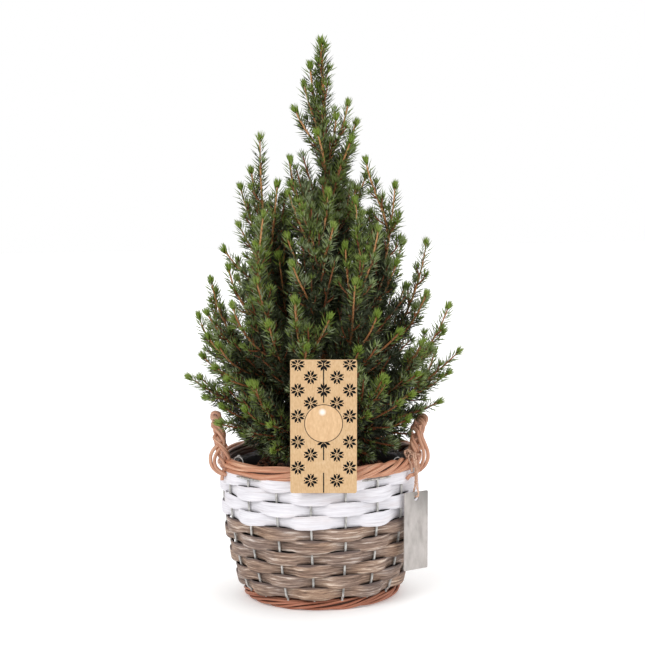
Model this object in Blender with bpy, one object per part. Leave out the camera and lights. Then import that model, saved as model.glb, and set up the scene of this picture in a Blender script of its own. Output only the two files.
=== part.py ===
"""A dwarf Alberta spruce in a nursery pot, standing in a woven willow basket.

Run it with blender --background --python part.py, or from the text editor.
Metres, +Z up. The origin is at the middle of the basket's foot, on the surface it stands on,
and the card and the hang tag face -Y.
"""

from math import cos, pi, radians, sin, sqrt, tau

import bmesh
import bpy
import numpy as np
from mathutils import Matrix, Vector

GAP = 0.0003                      # between neighbours that touch

# Basket ----------------------------------------------------------------------------
UPRIGHTS = 18                     # wires that the strips are woven round
UPRIGHT_PHASE = radians(-5.4)     # first wire, measured from the front towards +X
UPRIGHT_RADIUS = 0.0011
UPRIGHT_SIDES = 4
ROWS = 10
WHITE_ROWS = 4                    # the upper band, painted white
ROW_PITCH = 0.01255
TOP_ROW_HEIGHT = 0.1320           # middle of the top row
WALL_TOP_RADIUS = 0.1007          # circle of the wires under the rim
WALL_TAPER = 0.0222               # how much that circle narrows by the ground
WALL_TAPER_POWER = 2.15
STRIP_THICKNESS = 0.0016
STRIP_WAVE = 0.0033               # how far a strip swings to either side of the wires

RIM_RADIUS = 0.1000               # willow braid round the top
RIM_HALF_WIDTH = 0.0060
RIM_LOW = 0.1355
RIM_HIGH = 0.1490

FOOT_RADIUS = 0.0765              # twisted willow ring that it stands on
FOOT_HALF_WIDTH = 0.0062
FOOT_HEIGHT = 0.0112

BOARD_RADIUS = 0.0694
BOARD_THICKNESS = 0.0069

HANDLE_RADIUS = 0.0058            # half the width of the twisted willow
HANDLE_LEG_ANGLE = radians(23.2)  # from the handle's own side to each leg
HANDLE_LEG_CIRCLE = 0.1040
HANDLE_LEFT_TOP = (0.1056, 0.1927)    # distance from the axis, height of the outer edge
HANDLE_RIGHT_TOP = (0.1072, 0.1862)
HANDLE_SQUARENESS = 0.72          # 1 is a half ellipse, and less has straighter legs

# Pot and soil ----------------------------------------------------------------------
TURNED_STEPS = 24
POT_RADIUS = 0.0918
POT_BAND = 0.0080                 # height of the rim band
POT_BAND_STEP = 0.0013
POT_FOOT_RADIUS = 0.0660
POT_WALL = 0.0012
POT_LOW = BOARD_THICKNESS + GAP
POT_HIGH = 0.1340
SOIL_HIGH = 0.1237
SOIL_HEAPS = 0.0016               # unevenness of its top

# Card on its stake -----------------------------------------------------------------
CARD_WIDTH = 0.0647
CARD_HEIGHT = 0.1310
CARD_THICKNESS = 0.0010
CARD_CORNER = 0.0020
CARD_CENTRE = Vector((0.0049, -0.1125, 0.1927))
CARD_LEAN = radians(1.1)          # clockwise, seen from the front
STAKE_WIDTH = 0.0060
STAKE_THICKNESS = 0.0012
STAKE_TOP = 0.2420
STAKE_BEND = 0.2070               # the stake leaves the card's back here
STAKE_FOOT = Vector((0.0049, -0.0758, 0.1000))

# Hang tag on its twine -------------------------------------------------------------
TAG_WIDTH = 0.0300
TAG_HEIGHT = 0.0795
TAG_THICKNESS = 0.0010
TAG_CORNER = 0.0012
TAG_TURN = radians(35)            # its right edge is turned back
TAG_LEAN = radians(-1.4)
TAG_HOLE = Vector((0.0966, -0.0600, 0.1090))
TAG_HOLE_RADIUS = 0.00275
TAG_HOLE_DROP = 0.0065            # from the tag's top edge to the hole's middle
TWINE_RADIUS = 0.00095
TWINE_TURN = 0.0026               # half the width of the twine's turn in the hole
TWINE_START = Vector((0.0957, -0.0475, 0.1530))
TWINE_SHOULDER = Vector((0.0962, -0.0540, 0.1490))
TWINE_SPREAD = 0.0012             # half the distance between its two strands
TWINE_POINTS = 26

# Tree ------------------------------------------------------------------------------
TRUNK_LOW = SOIL_HIGH + GAP
TRUNK_TIP = Vector((0.0097, 0.0, 0.5720))
TRUNK_BOW = 0.0071                # how far it bows to +X on the way up
TRUNK_SWAY = 0.0022
TRUNK_RADIUS = 0.0068             # above the flare
TRUNK_TIP_RADIUS = 0.0012
FLARE_RADIUS = 0.0042             # how much wider it is at the soil
FLARE_HEIGHT = 0.0100
TRUNK_SIDES = 8
TRUNK_RINGS = 13

BOUGH_SIDES = 5
BOUGH_RINGS = 4
BOUGH_ROOT_RADIUS = 0.0024
BOUGH_END_RADIUS = 0.0015

MASS_SIDES = 8
MASS_RINGS = 7
MASS_START = 0.32                 # share of the bough's line where the needles close in
MASS_GAP = 0.0026                 # open seam between two masses
MASS_LUMPS = 0.16
TIP_RADIUS = 0.0085               # half the width of a leafy shoot
TIP_LENGTH = 0.0120
OVER_RIM = 0.0040                 # clearance of the needles over the rim and handles

LEADER_LOW = 0.3120
LEADER_TIP = Vector((0.0097, 0.0, 0.5762))
LEADER_SHAPE = (                  # height, half width
    (0.312, 0.012),
    (0.335, 0.026),
    (0.365, 0.036),
    (0.400, 0.042),
    (0.435, 0.042),
    (0.470, 0.038),
    (0.500, 0.031),
    (0.530, 0.021),
    (0.555, 0.013),
    (0.570, 0.009),
)

# name: bearing from +X in degrees, reach from the axis, height of the tip, height of the root on
# the trunk, how far out and how far up the line's turning point is, half width of the needles
LIMBS = {
    "left_tall": (176, 0.0545, 0.4790, 0.215, 1.10, 0.30, 0.036),
    "left_mid": (187, 0.1090, 0.3350, 0.186, 0.88, 0.36, 0.030),
    "left_low": (168, 0.1280, 0.2940, 0.166, 0.84, 0.38, 0.030),
    "left_skirt": (186, 0.1373, 0.2330, 0.152, 0.56, 0.45, 0.026),
    "front_left": (226, 0.0860, 0.3720, 0.192, 0.90, 0.28, 0.028),
    "front_centre": (268, 0.0520, 0.3820, 0.236, 0.88, 0.30, 0.026),
    "front_low": (257, 0.0890, 0.3170, 0.172, 0.84, 0.36, 0.028),
    "front_right": (304, 0.0780, 0.3330, 0.200, 0.86, 0.32, 0.028),
    "right_tall": (357, 0.0832, 0.4275, 0.206, 0.86, 0.34, 0.028),
    "right_mid": (8, 0.1170, 0.3670, 0.192, 0.86, 0.34, 0.028),
    "right_low": (352, 0.1380, 0.3040, 0.170, 0.80, 0.36, 0.028),
    "right_skirt": (1, 0.1503, 0.2530, 0.154, 0.62, 0.42, 0.026),
    "front_skirt_left": (234, 0.1160, 0.2370, 0.149, 0.66, 0.34, 0.034),
    "front_skirt_right": (307, 0.1150, 0.2360, 0.160, 0.66, 0.34, 0.034),
    "back_tall": (88, 0.0740, 0.4200, 0.224, 0.90, 0.30, 0.040),
    "back_left": (131, 0.1180, 0.3220, 0.178, 0.85, 0.34, 0.046),
    "back_right": (47, 0.1210, 0.3120, 0.184, 0.85, 0.34, 0.046),
    "back_skirt": (91, 0.1340, 0.2450, 0.150, 0.66, 0.36, 0.048),
}


# Helpers ---------------------------------------------------------------------------
def material(name, colour, roughness, metallic=0.0):
    found = bpy.data.materials.get(name)
    if found:
        return found
    made = bpy.data.materials.new(name)
    made.use_nodes = True
    shader = made.node_tree.nodes["Principled BSDF"]
    shader.inputs["Base Color"].default_value = (*colour, 1.0)
    shader.inputs["Roughness"].default_value = roughness
    shader.inputs["Metallic"].default_value = metallic
    made.diffuse_color = (*colour, 1.0)
    return made


def white_willow():
    return material("white_willow", (0.82, 0.83, 0.86), 0.75)


def weathered_willow():
    return material("weathered_willow", (0.30, 0.25, 0.20), 0.75)


def peeled_willow():
    return material("peeled_willow", (0.62, 0.36, 0.20), 0.65)


def wire_steel():
    return material("wire_steel", (0.55, 0.55, 0.55), 0.4, 1.0)


def plywood():
    return material("plywood", (0.55, 0.42, 0.28), 0.8)


def pot_plastic():
    return material("pot_plastic", (0.03, 0.03, 0.035), 0.5)


def peat():
    return material("peat", (0.07, 0.04, 0.025), 0.95)


def kraft_card():
    return material("kraft_card", (0.80, 0.58, 0.30), 0.85)


def zinc():
    return material("zinc", (0.55, 0.56, 0.57), 0.4, 1.0)


def jute():
    return material("jute", (0.62, 0.44, 0.32), 0.9)


def bark():
    return material("bark", (0.30, 0.15, 0.07), 0.85)


def needles():
    return material("needles", (0.05, 0.13, 0.03), 0.7)


def add(name, mesh, finish, smooth=True):
    obj = bpy.data.objects.new(name, mesh)
    bpy.context.scene.collection.objects.link(obj)
    if mesh:
        mesh.materials.append(finish)
    if smooth and isinstance(mesh, bpy.types.Mesh):
        mesh.shade_smooth()
        mesh.set_sharp_from_angle(angle=radians(40))
    return obj


def to_mesh(bm, name):
    bmesh.ops.recalc_face_normals(bm, faces=bm.faces)
    mesh = bpy.data.meshes.new(name)
    bm.to_mesh(mesh)
    bm.free()
    return mesh


def helper(obj):
    """A shape that only cuts or joins another one."""
    obj.hide_render = True
    obj.display_type = "WIRE"
    return obj


def boolean(obj, other, operation):
    step = obj.modifiers.new(operation.lower(), "BOOLEAN")
    step.operation = operation
    step.object = helper(other)
    step.solver = "EXACT"


def skin(bm, rings, cyclic=False):
    """Quads between each ring of points and the next; returns the rings' vertices."""
    made = [[bm.verts.new(p) for p in ring] for ring in rings]
    pairs = list(zip(made, made[1:]))
    if cyclic:
        pairs.append((made[-1], made[0]))
    for low, high in pairs:
        for i in range(len(low)):
            j = (i + 1) % len(low)
            bm.faces.new((low[i], low[j], high[j], high[i]))
    return made


def fan(bm, ring, point):
    tip = bm.verts.new(point)
    for i in range(len(ring)):
        bm.faces.new((ring[i], ring[(i + 1) % len(ring)], tip))


def turned(name, profile, steps, finish):
    """A closed profile of (radius, height) points spun once round the Z axis."""
    bm = bmesh.new()
    points = [bm.verts.new((r, 0.0, z)) for r, z in profile]
    edges = [bm.edges.new((points[i - 1], points[i])) for i in range(len(points))]
    bmesh.ops.spin(
        bm,
        geom=points + edges,
        cent=(0, 0, 0),
        axis=(0, 0, 1),
        angle=tau,
        steps=steps,
        use_merge=True,
    )
    bmesh.ops.remove_doubles(bm, verts=bm.verts, dist=1e-6)
    return add(name, to_mesh(bm, name), finish)


def oval(radius, half_width, low, high, sides):
    """The section of a ring, as (radius, height) points, with upright flat sides."""
    middle, half_height = (low + high) / 2, (high - low) / 2
    turns = [tau * (i + 0.5) / sides for i in range(sides)]
    wide = half_width / cos(pi / sides)
    return [(radius + wide * cos(a), middle + half_height * sin(a)) for a in turns]


def frames(path):
    """The tangent and two cross directions at each point of a path, without twist."""
    tangents = [
        (path[min(i + 1, len(path) - 1)] - path[max(i - 1, 0)]).normalized()
        for i in range(len(path))
    ]
    side = tangents[0].cross(Vector((0, 0, 1)))
    if side.length < 1e-3:
        side = Vector((1, 0, 0))
    side.normalize()
    made = []
    for tangent in tangents:
        side = (side - tangent * side.dot(tangent)).normalized()
        made.append((tangent, side, tangent.cross(side)))
    return made


def circle_at(point, across, upward, radius, sides):
    turns = [tau * i / sides for i in range(sides)]
    return [point + (across * cos(a) + upward * sin(a)) * radius for a in turns]


def tube_curve(name, points, radius, finish, resolution):
    """A round tube along a path, with closed ends."""
    curve = bpy.data.curves.new(name, "CURVE")
    curve.dimensions = "3D"
    curve.bevel_depth = radius
    curve.bevel_resolution = resolution
    curve.use_fill_caps = True
    spline = curve.splines.new("POLY")
    spline.points.add(len(points) - 1)
    for place, point in zip(spline.points, points):
        place.co = (*point, 1.0)
    curve.materials.append(finish)
    obj = bpy.data.objects.new(name, curve)
    bpy.context.scene.collection.objects.link(obj)
    return obj


def smooth_route(points, count):
    """Evenly numbered points on a smooth curve through a few given ones."""
    ends = [2 * points[0] - points[1], *points, 2 * points[-1] - points[-2]]
    made = []
    for k in range(count):
        t = k / (count - 1) * (len(points) - 1)
        i = min(int(t), len(points) - 2)
        f = t - i
        a, b, c, d = ends[i : i + 4]
        slope = (c - a) * f + (2 * a - 5 * b + 4 * c - d) * f**2 + (3 * b - a - 3 * c + d) * f**3
        made.append(b + slope / 2)
    return made


def noise(*numbers):
    """A repeatable number from -1 to 1 for these integers."""
    mixed = sin(sum(n * k for n, k in zip(numbers, (12.9898, 78.233, 37.719)))) * 43758.5453
    return 2 * (mixed - np.floor(mixed)) - 1


# Basket ----------------------------------------------------------------------------
def wall_radius(height):
    depth = max(0.0, 1 - height / TOP_ROW_HEIGHT)
    return WALL_TOP_RADIUS - WALL_TAPER * depth**WALL_TAPER_POWER


def bearing(angle, radius, height):
    """A point at an angle from the front (-Y), towards +X."""
    return Vector((radius * sin(angle), -radius * cos(angle), height))


def weave_row(k):
    """One strip all round: outside one wire, inside the next."""
    middle = TOP_ROW_HEIGHT - ROW_PITCH * k
    half = ROW_PITCH / 2 - GAP / 2
    top_hoop_low = RIM_LOW - 2 * GAP - 2 * UPRIGHT_RADIUS
    low, high = middle - half, min(middle + half, top_hoop_low)
    rings = []
    for step in range(2 * UPRIGHTS):
        angle = UPRIGHT_PHASE + tau * step / (2 * UPRIGHTS)
        at_wire = step % 2 == 0
        outside = 1 if (step // 2 + k) % 2 == 1 else -1
        swing = STRIP_WAVE * outside if at_wire else 0.0
        ring = []
        for height, side in ((low, -1), (low, 1), (high, 1), (high, -1)):
            radius = wall_radius(height) + swing + side * STRIP_THICKNESS / 2
            ring.append(bearing(angle, radius, height))
        rings.append(ring)
    bm = bmesh.new()
    skin(bm, rings, cyclic=True)
    name = f"weave_row_{k + 1:02d}"
    finish = white_willow() if k < WHITE_ROWS else weathered_willow()
    add(name, to_mesh(bm, name), finish, False)


def foot_top(radius):
    """Height of the foot ring's upper side at a radius."""
    out = min(1.0, abs(radius - FOOT_RADIUS) / FOOT_HALF_WIDTH)
    return FOOT_HEIGHT / 2 * (1 + sqrt(1 - out * out))


def wire_frame():
    """The uprights and the hoop that ties their tops together, under the rim."""
    hoop_middle = RIM_LOW - GAP - UPRIGHT_RADIUS
    hoop = turned(
        "wire_frame",
        oval(
            wall_radius(hoop_middle),
            UPRIGHT_RADIUS,
            hoop_middle - UPRIGHT_RADIUS,
            hoop_middle + UPRIGHT_RADIUS,
            4,
        ),
        2 * UPRIGHTS,
        wire_steel(),
    )
    foot_radius = FOOT_RADIUS + 0.78 * FOOT_HALF_WIDTH
    low = foot_top(foot_radius) + GAP
    bend = TOP_ROW_HEIGHT - ROW_PITCH * (ROWS - 0.7)
    heights = [bend + (hoop_middle - bend) * share for share in (0.0, 0.17, 0.45, 1.0)]
    bm = bmesh.new()
    for i in range(UPRIGHTS):
        angle = UPRIGHT_PHASE + tau * i / UPRIGHTS
        outward, across = bearing(angle, 1, 0), bearing(angle + pi / 2, 1, 0)
        path = [bearing(angle, foot_radius, low)]
        path += [bearing(angle, wall_radius(z), z) for z in heights]
        rings = [circle_at(p, outward, across, UPRIGHT_RADIUS, UPRIGHT_SIDES) for p in path]
        made = skin(bm, rings)
        bm.faces.new(made[0])
        bm.faces.new(made[-1])
    uprights = add("uprights", to_mesh(bm, "uprights"), wire_steel())
    boolean(hoop, uprights, "UNION")


def rim():
    turned("willow_rim", oval(RIM_RADIUS, RIM_HALF_WIDTH, RIM_LOW, RIM_HIGH, 6), 36, peeled_willow())


def foot():
    turned("willow_foot", oval(FOOT_RADIUS, FOOT_HALF_WIDTH, 0.0, FOOT_HEIGHT, 6), 36, peeled_willow())


def base_board():
    bm = bmesh.new()
    bmesh.ops.create_cone(
        bm,
        cap_ends=True,
        segments=36,
        radius1=BOARD_RADIUS,
        radius2=BOARD_RADIUS,
        depth=BOARD_THICKNESS,
        matrix=Matrix.Translation((0, 0, BOARD_THICKNESS / 2)),
    )
    add("base_board", to_mesh(bm, "base_board"), plywood())


def handle_path(side, top, count):
    """The arch's middle line, from the front leg over to the back one."""
    low = RIM_HIGH + GAP
    leg_out = HANDLE_LEG_CIRCLE * cos(HANDLE_LEG_ANGLE)
    leg_across = HANDLE_LEG_CIRCLE * sin(HANDLE_LEG_ANGLE)
    top_out, top_height = top
    rise = top_height - HANDLE_RADIUS - low
    path = []
    for i in range(count):
        turn = pi * i / (count - 1)
        lift = sin(turn) ** HANDLE_SQUARENESS if 0 < i < count - 1 else 0.0
        out = leg_out + (top_out - leg_out) * sin(turn)
        path.append(Vector((side * out, -leg_across * cos(turn), low + rise * lift)))
    return path


def handle(name, side, top):
    tube_curve(name, handle_path(side, top, 17), HANDLE_RADIUS, peeled_willow(), 1)


# Pot, soil -------------------------------------------------------------------------
def pot_radius(height):
    """Outside radius of the pot's wall below its band."""
    wall_top = POT_RADIUS - POT_BAND_STEP
    share = (height - POT_LOW) / (POT_HIGH - POT_BAND - POT_LOW)
    return POT_FOOT_RADIUS + (wall_top - POT_FOOT_RADIUS) * share


def nursery_pot():
    under_band = POT_HIGH - POT_BAND
    inner_top = POT_RADIUS - POT_BAND_STEP - POT_WALL
    profile = [
        (POT_RADIUS, POT_HIGH),
        (POT_RADIUS, under_band),
        (POT_RADIUS - POT_BAND_STEP, under_band),
        (POT_FOOT_RADIUS, POT_LOW),
    ]
    inside = [
        (POT_FOOT_RADIUS - POT_WALL, POT_LOW + POT_WALL),
        (inner_top, under_band),
        (inner_top, POT_HIGH),
    ]
    bm = bmesh.new()
    rings = []
    for radius, height in profile[::-1] + inside[::-1]:
        rings.append([bearing(tau * i / TURNED_STEPS, radius, height) for i in range(TURNED_STEPS)])
    made = skin(bm, rings)
    fan(bm, made[0], (0, 0, POT_LOW))
    fan(bm, made[-1], (0, 0, POT_LOW + POT_WALL))
    add("nursery_pot", to_mesh(bm, "nursery_pot"), pot_plastic())


def soil():
    clear = POT_WALL + 2 * GAP
    low = POT_LOW + POT_WALL + GAP
    edge = SOIL_HIGH - 0.002
    shares = ((1.0, edge), (0.72, SOIL_HIGH), (0.34, SOIL_HIGH))
    rings = []
    for radius, height in ((pot_radius(low) - clear, low), (pot_radius(edge) - clear, edge)):
        rings.append([bearing(tau * i / TURNED_STEPS, radius, height) for i in range(TURNED_STEPS)])
    for k, (share, height) in enumerate(shares[1:]):
        heap = SOIL_HEAPS if k == 0 else 0.0
        ring = []
        for i in range(TURNED_STEPS):
            radius = share * (pot_radius(edge) - clear)
            lift = heap * (noise(i, 3) - 1)
            ring.append(bearing(tau * i / TURNED_STEPS, radius, height + lift))
        rings.append(ring)
    bm = bmesh.new()
    made = skin(bm, rings)
    bm.faces.new(made[0])
    bm.faces.new(made[-1])
    obj = add("soil", to_mesh(bm, "soil"), peat())
    slot = stake_shape("stake_slot", GAP)
    boolean(obj, slot, "DIFFERENCE")


# Card ------------------------------------------------------------------------------
def rounded_plate(name, width, height, thickness, corner, finish):
    """An upright plate in the XZ plane, its middle at the origin."""
    bm = bmesh.new()
    bmesh.ops.create_cube(bm, size=1.0, matrix=Matrix.Diagonal((width, thickness, height, 1)))
    corners = [e for e in bm.edges if abs(e.verts[0].co.y - e.verts[1].co.y) > thickness / 2]
    bmesh.ops.bevel(bm, geom=corners, offset=corner, segments=3, profile=0.5, affect="EDGES")
    return add(name, to_mesh(bm, name), finish, False)


def card():
    obj = rounded_plate("card", CARD_WIDTH, CARD_HEIGHT, CARD_THICKNESS, CARD_CORNER, kraft_card())
    obj.location = CARD_CENTRE
    obj.rotation_euler = (0, CARD_LEAN, 0)


def stake_shape(name, grow):
    """A flat stake up the card's back that bends back over the rim into the soil."""
    front = CARD_CENTRE.y + CARD_THICKNESS / 2 + GAP
    half = STAKE_THICKNESS / 2
    top = Vector((STAKE_FOOT.x, front + half, STAKE_TOP))
    bend = Vector((STAKE_FOOT.x, front + half, STAKE_BEND))
    foot_end = STAKE_FOOT.copy()
    path = [foot_end, bend, top]
    directions = [(bend - foot_end).normalized(), None, (top - bend).normalized()]
    directions[1] = (directions[0] + directions[2]).normalized()
    across = Vector((1, 0, 0))
    rings = []
    for point, direction in zip(path, directions):
        back = direction.cross(across)
        w, t = across * (STAKE_WIDTH / 2 + grow), back * (half + grow)
        rings.append([point - w - t, point + w - t, point + w + t, point - w + t])
    if grow:
        down = directions[0] * -grow
        rings[0] = [p + down for p in rings[0]]
    bm = bmesh.new()
    made = skin(bm, rings)
    bm.faces.new(made[0])
    bm.faces.new(made[-1])
    return add(name, to_mesh(bm, name), plywood(), False)


# Tag -------------------------------------------------------------------------------
def tag_axes():
    """Across the tag, up the tag, and out of its face."""
    across = Vector((cos(TAG_TURN), sin(TAG_TURN), 0))
    face = Vector((sin(TAG_TURN), -cos(TAG_TURN), 0))
    lean = Matrix.Rotation(TAG_LEAN, 3, face)
    return lean @ across, lean @ Vector((0, 0, 1)), face


def tag():
    obj = rounded_plate("zinc_tag", TAG_WIDTH, TAG_HEIGHT, TAG_THICKNESS, TAG_CORNER, zinc())
    across, upward, face = tag_axes()
    hole_height = TAG_HEIGHT / 2 - TAG_HOLE_DROP
    bm = bmesh.new()
    bmesh.ops.create_cone(
        bm,
        cap_ends=True,
        segments=16,
        radius1=TAG_HOLE_RADIUS,
        radius2=TAG_HOLE_RADIUS,
        depth=4 * TAG_THICKNESS,
        matrix=Matrix.Translation((0, 0, hole_height)) @ Matrix.Rotation(pi / 2, 4, "X"),
    )
    cutter = add("tag_hole", to_mesh(bm, "tag_hole"), zinc())
    boolean(obj, cutter, "DIFFERENCE")
    turn = Matrix((across, -face, upward)).transposed().to_4x4()
    place = Matrix.Translation(TAG_HOLE - upward * hole_height) @ turn
    obj.matrix_world = place
    cutter.matrix_world = place


def twine_route():
    """Down from the handle's leg, through the tag's hole and back up beside itself."""
    across, upward, face = tag_axes()
    turn = TAG_HOLE + upward * (TAG_HOLE_RADIUS - GAP - TWINE_RADIUS)
    down, up = [], []
    for side, half in ((1, down), (-1, up)):
        apart = face * side
        half.append(TWINE_START + across * side * TWINE_SPREAD)
        half.append(TWINE_SHOULDER + across * side * TWINE_SPREAD)
        half.append(turn + upward * 0.026 + apart * TWINE_SPREAD + Vector((0, 0.0015, 0)))
        half.append(turn + upward * 0.012 + apart * TWINE_SPREAD * 1.3)
        half.append(turn + upward * 0.0045 + apart * TWINE_TURN)
        half.append(turn + upward * 0.0010 + apart * TWINE_TURN * 0.72)
    return smooth_route([*down, turn, *up[::-1]], TWINE_POINTS)


def twine():
    tube_curve("jute_twine", twine_route(), TWINE_RADIUS, jute(), 2)


# Tree ------------------------------------------------------------------------------
def trunk_point(height):
    share = (height - TRUNK_LOW) / (TRUNK_TIP.z - TRUNK_LOW)
    x = TRUNK_TIP.x * share + TRUNK_BOW * sin(pi * share)
    y = TRUNK_TIP.y * share - TRUNK_SWAY * sin(2 * pi * share)
    return Vector((x, y, height))


def trunk_radius(height):
    share = (height - TRUNK_LOW) / (TRUNK_TIP.z - TRUNK_LOW)
    flare = FLARE_RADIUS * np.exp(-(height - TRUNK_LOW) / FLARE_HEIGHT)
    return TRUNK_RADIUS + (TRUNK_TIP_RADIUS - TRUNK_RADIUS) * share**0.8 + flare


def trunk_heights():
    """Ring heights, closer together in the flare."""
    return [
        TRUNK_LOW + (TRUNK_TIP.z - TRUNK_LOW) * (i / (TRUNK_RINGS - 1)) ** 1.7
        for i in range(TRUNK_RINGS)
    ]


def trunk_rings(heights, grow=0.0):
    east, north = Vector((1, 0, 0)), Vector((0, 1, 0))
    return [
        circle_at(trunk_point(z), east, north, trunk_radius(z) + grow, TRUNK_SIDES)
        for z in heights
    ]


def trunk():
    bm = bmesh.new()
    made = skin(bm, trunk_rings(trunk_heights()))
    bm.faces.new(made[0])
    bm.faces.new(made[-1])
    add("trunk", to_mesh(bm, "trunk"), bark())


def limb_point(limb, share):
    """A point on a limb's line: 0 is on the trunk's middle line and 1 is the tip."""
    degrees, reach, tip_height, root_height, out_share, up_share, _ = limb
    direction = Vector((cos(radians(degrees)), sin(radians(degrees)), 0))
    root = trunk_point(root_height)
    tip = direction * reach + Vector((0, 0, tip_height))
    turn_height = root_height + (tip_height - root_height) * up_share
    turn = direction * reach * out_share + Vector((0, 0, turn_height))
    return root * (1 - share) ** 2 + turn * 2 * share * (1 - share) + tip * share**2


def root_share(limb):
    """Where a limb's line comes out of the trunk's bark."""
    start = trunk_point(limb[3])
    clear = trunk_radius(limb[3]) + GAP
    share = 0.0
    while (limb_point(limb, share) - start).xy.length < clear:
        share += 0.0005
    return share


def bough(name, limb):
    first = root_share(limb)
    last = MASS_START
    shares = [first + (last - first) * i / (BOUGH_RINGS - 1) for i in range(BOUGH_RINGS)]
    path = [limb_point(limb, share) for share in shares]
    directions = frames(path)
    outward = (path[0] - trunk_point(limb[3])).normalized()
    outward.z = 0
    level = outward.normalized()
    across = level.cross(Vector((0, 0, 1)))
    directions[0] = (level, across, level.cross(across))
    rings = []
    for i, point in enumerate(path):
        share = i / (BOUGH_RINGS - 1)
        radius = BOUGH_ROOT_RADIUS + (BOUGH_END_RADIUS - BOUGH_ROOT_RADIUS) * share
        rings.append(circle_at(point, directions[i][1], directions[i][2], radius, BOUGH_SIDES))
    bm = bmesh.new()
    made = skin(bm, rings)
    bm.faces.new(made[0])
    bm.faces.new(made[-1])
    add(name, to_mesh(bm, name), bark())


def mass_line(limb, count):
    """Points along the part of a limb's line that has needles round it."""
    start = limb_point(limb, MASS_START)
    ahead = (limb_point(limb, MASS_START + 0.01) - start).normalized()
    length = (limb_point(limb, 1.0) - start).length
    shift = GAP / length
    shares = [MASS_START + shift + (1 - MASS_START - shift) * i / (count - 1) for i in range(count)]
    line = [limb_point(limb, share) for share in shares]
    line[0] = start + ahead * GAP
    return line


def leader_line(count):
    low = LEADER_LOW
    return [trunk_point(low + (TRUNK_TIP.z - low) * i / (count - 1)) for i in range(count)]


class Surroundings:
    """Points that a mass keeps clear of: other masses' lines, and balls of given radius."""

    def __init__(self):
        self.centres = []
        self.radii = []
        self.owners = []

    def put(self, owner, points, radius):
        for point in points:
            self.centres.append(tuple(point))
            self.radii.append(radius)
            self.owners.append(owner)

    def freeze(self):
        self.centres = np.array(self.centres)
        self.radii = np.array(self.radii)
        self.owners = np.array(self.owners)

    def room(self, owner, point, direction):
        """How far a mass may reach from a point of its own line in a direction."""
        theirs = self.owners != owner
        away = self.centres[theirs] - np.array(point)
        distance = np.linalg.norm(away, axis=1)
        along = away @ np.array(direction)
        radii = self.radii[theirs]
        halfway = distance / 2 - MASS_GAP / 2
        plane = np.where(radii < 0, halfway, distance - radii)
        facing = along > 1e-6
        if not facing.any():
            return 1.0
        limits = plane[facing] * distance[facing] / along[facing]
        return float(limits.min())


def surroundings():
    """The lines of the masses meet half way, and a solid thing is a row of balls."""
    around = Surroundings()
    for name, limb in LIMBS.items():
        around.put(name, mass_line(limb, 40), -1.0)
        first = root_share(limb)
        stem = [limb_point(limb, first + (MASS_START - first) * i / 30) for i in range(31)]
        around.put(f"bough of {name}", stem, BOUGH_ROOT_RADIUS + 0.0012)
    around.put("leader", leader_line(60), -1.0)
    low, high = TRUNK_LOW, TRUNK_TIP.z
    for i in range(120):
        height = low + (high - low) * i / 119
        around.put("trunk", [trunk_point(height)], trunk_radius(height) + 0.0012)
    rim_middle = (RIM_LOW + RIM_HIGH) / 2
    rim_ball = (RIM_HIGH - RIM_LOW) / 2 + OVER_RIM
    around.put("rim", [bearing(tau * i / 120, RIM_RADIUS, rim_middle) for i in range(120)], rim_ball)
    for side, top in ((-1, HANDLE_LEFT_TOP), (1, HANDLE_RIGHT_TOP)):
        around.put("handle", handle_path(side, top, 40), HANDLE_RADIUS + OVER_RIM)
    for i in range(14):
        for j in range(24):
            across = (i / 13 - 0.5) * CARD_WIDTH
            upward = (j / 23 - 0.5) * CARD_HEIGHT
            around.put("card", [CARD_CENTRE + Vector((across, 0, upward))], OVER_RIM)
    bend = Vector((STAKE_FOOT.x, CARD_CENTRE.y, STAKE_BEND))
    stake = [STAKE_FOOT.lerp(bend, i / 30) for i in range(31)]
    around.put("stake", stake, STAKE_WIDTH / 2 + GAP + 0.001)
    around.freeze()
    return around


def mass(name, number, limb, around):
    """A leafy spire: widest a third of the way along, uneven, and drawn out to its tip."""
    line = mass_line(limb, MASS_RINGS + 1)
    directions = frames(line)
    girth = limb[6]
    rings = []
    for i in range(MASS_RINGS):
        share = i / MASS_RINGS
        swell = sin(pi * min(1.0, 0.16 + 1.02 * share)) ** 0.8
        wanted = TIP_RADIUS + (girth - TIP_RADIUS) * swell
        point, (_, across, upward) = line[i], directions[i]
        ring = []
        for j in range(MASS_SIDES):
            turn = tau * (j + 0.5 * (i % 2)) / MASS_SIDES
            direction = across * cos(turn) + upward * sin(turn)
            lump = 1 + MASS_LUMPS * noise(i, j, number)
            reach = min(wanted * lump, around.room(name, point, direction) - 0.0004)
            if direction.z < 0:
                reach = min(reach, (point.z - SOIL_HIGH - 0.012) / -direction.z)
            ring.append(point + direction * max(reach, 0.0012))
        rings.append(ring)
    tip = line[-1]
    before = directions[-1][0] * -TIP_LENGTH
    end = circle_at(tip + before, directions[-1][1], directions[-1][2], TIP_RADIUS, MASS_SIDES)
    if (line[-2] - tip).length > 1.3 * TIP_LENGTH:
        rings.append(end)
    bm = bmesh.new()
    made = skin(bm, rings)
    bm.faces.new(made[0])
    fan(bm, made[-1], tip)
    node = f"needles_{name}"
    add(node, to_mesh(bm, node), needles(), False)


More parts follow.
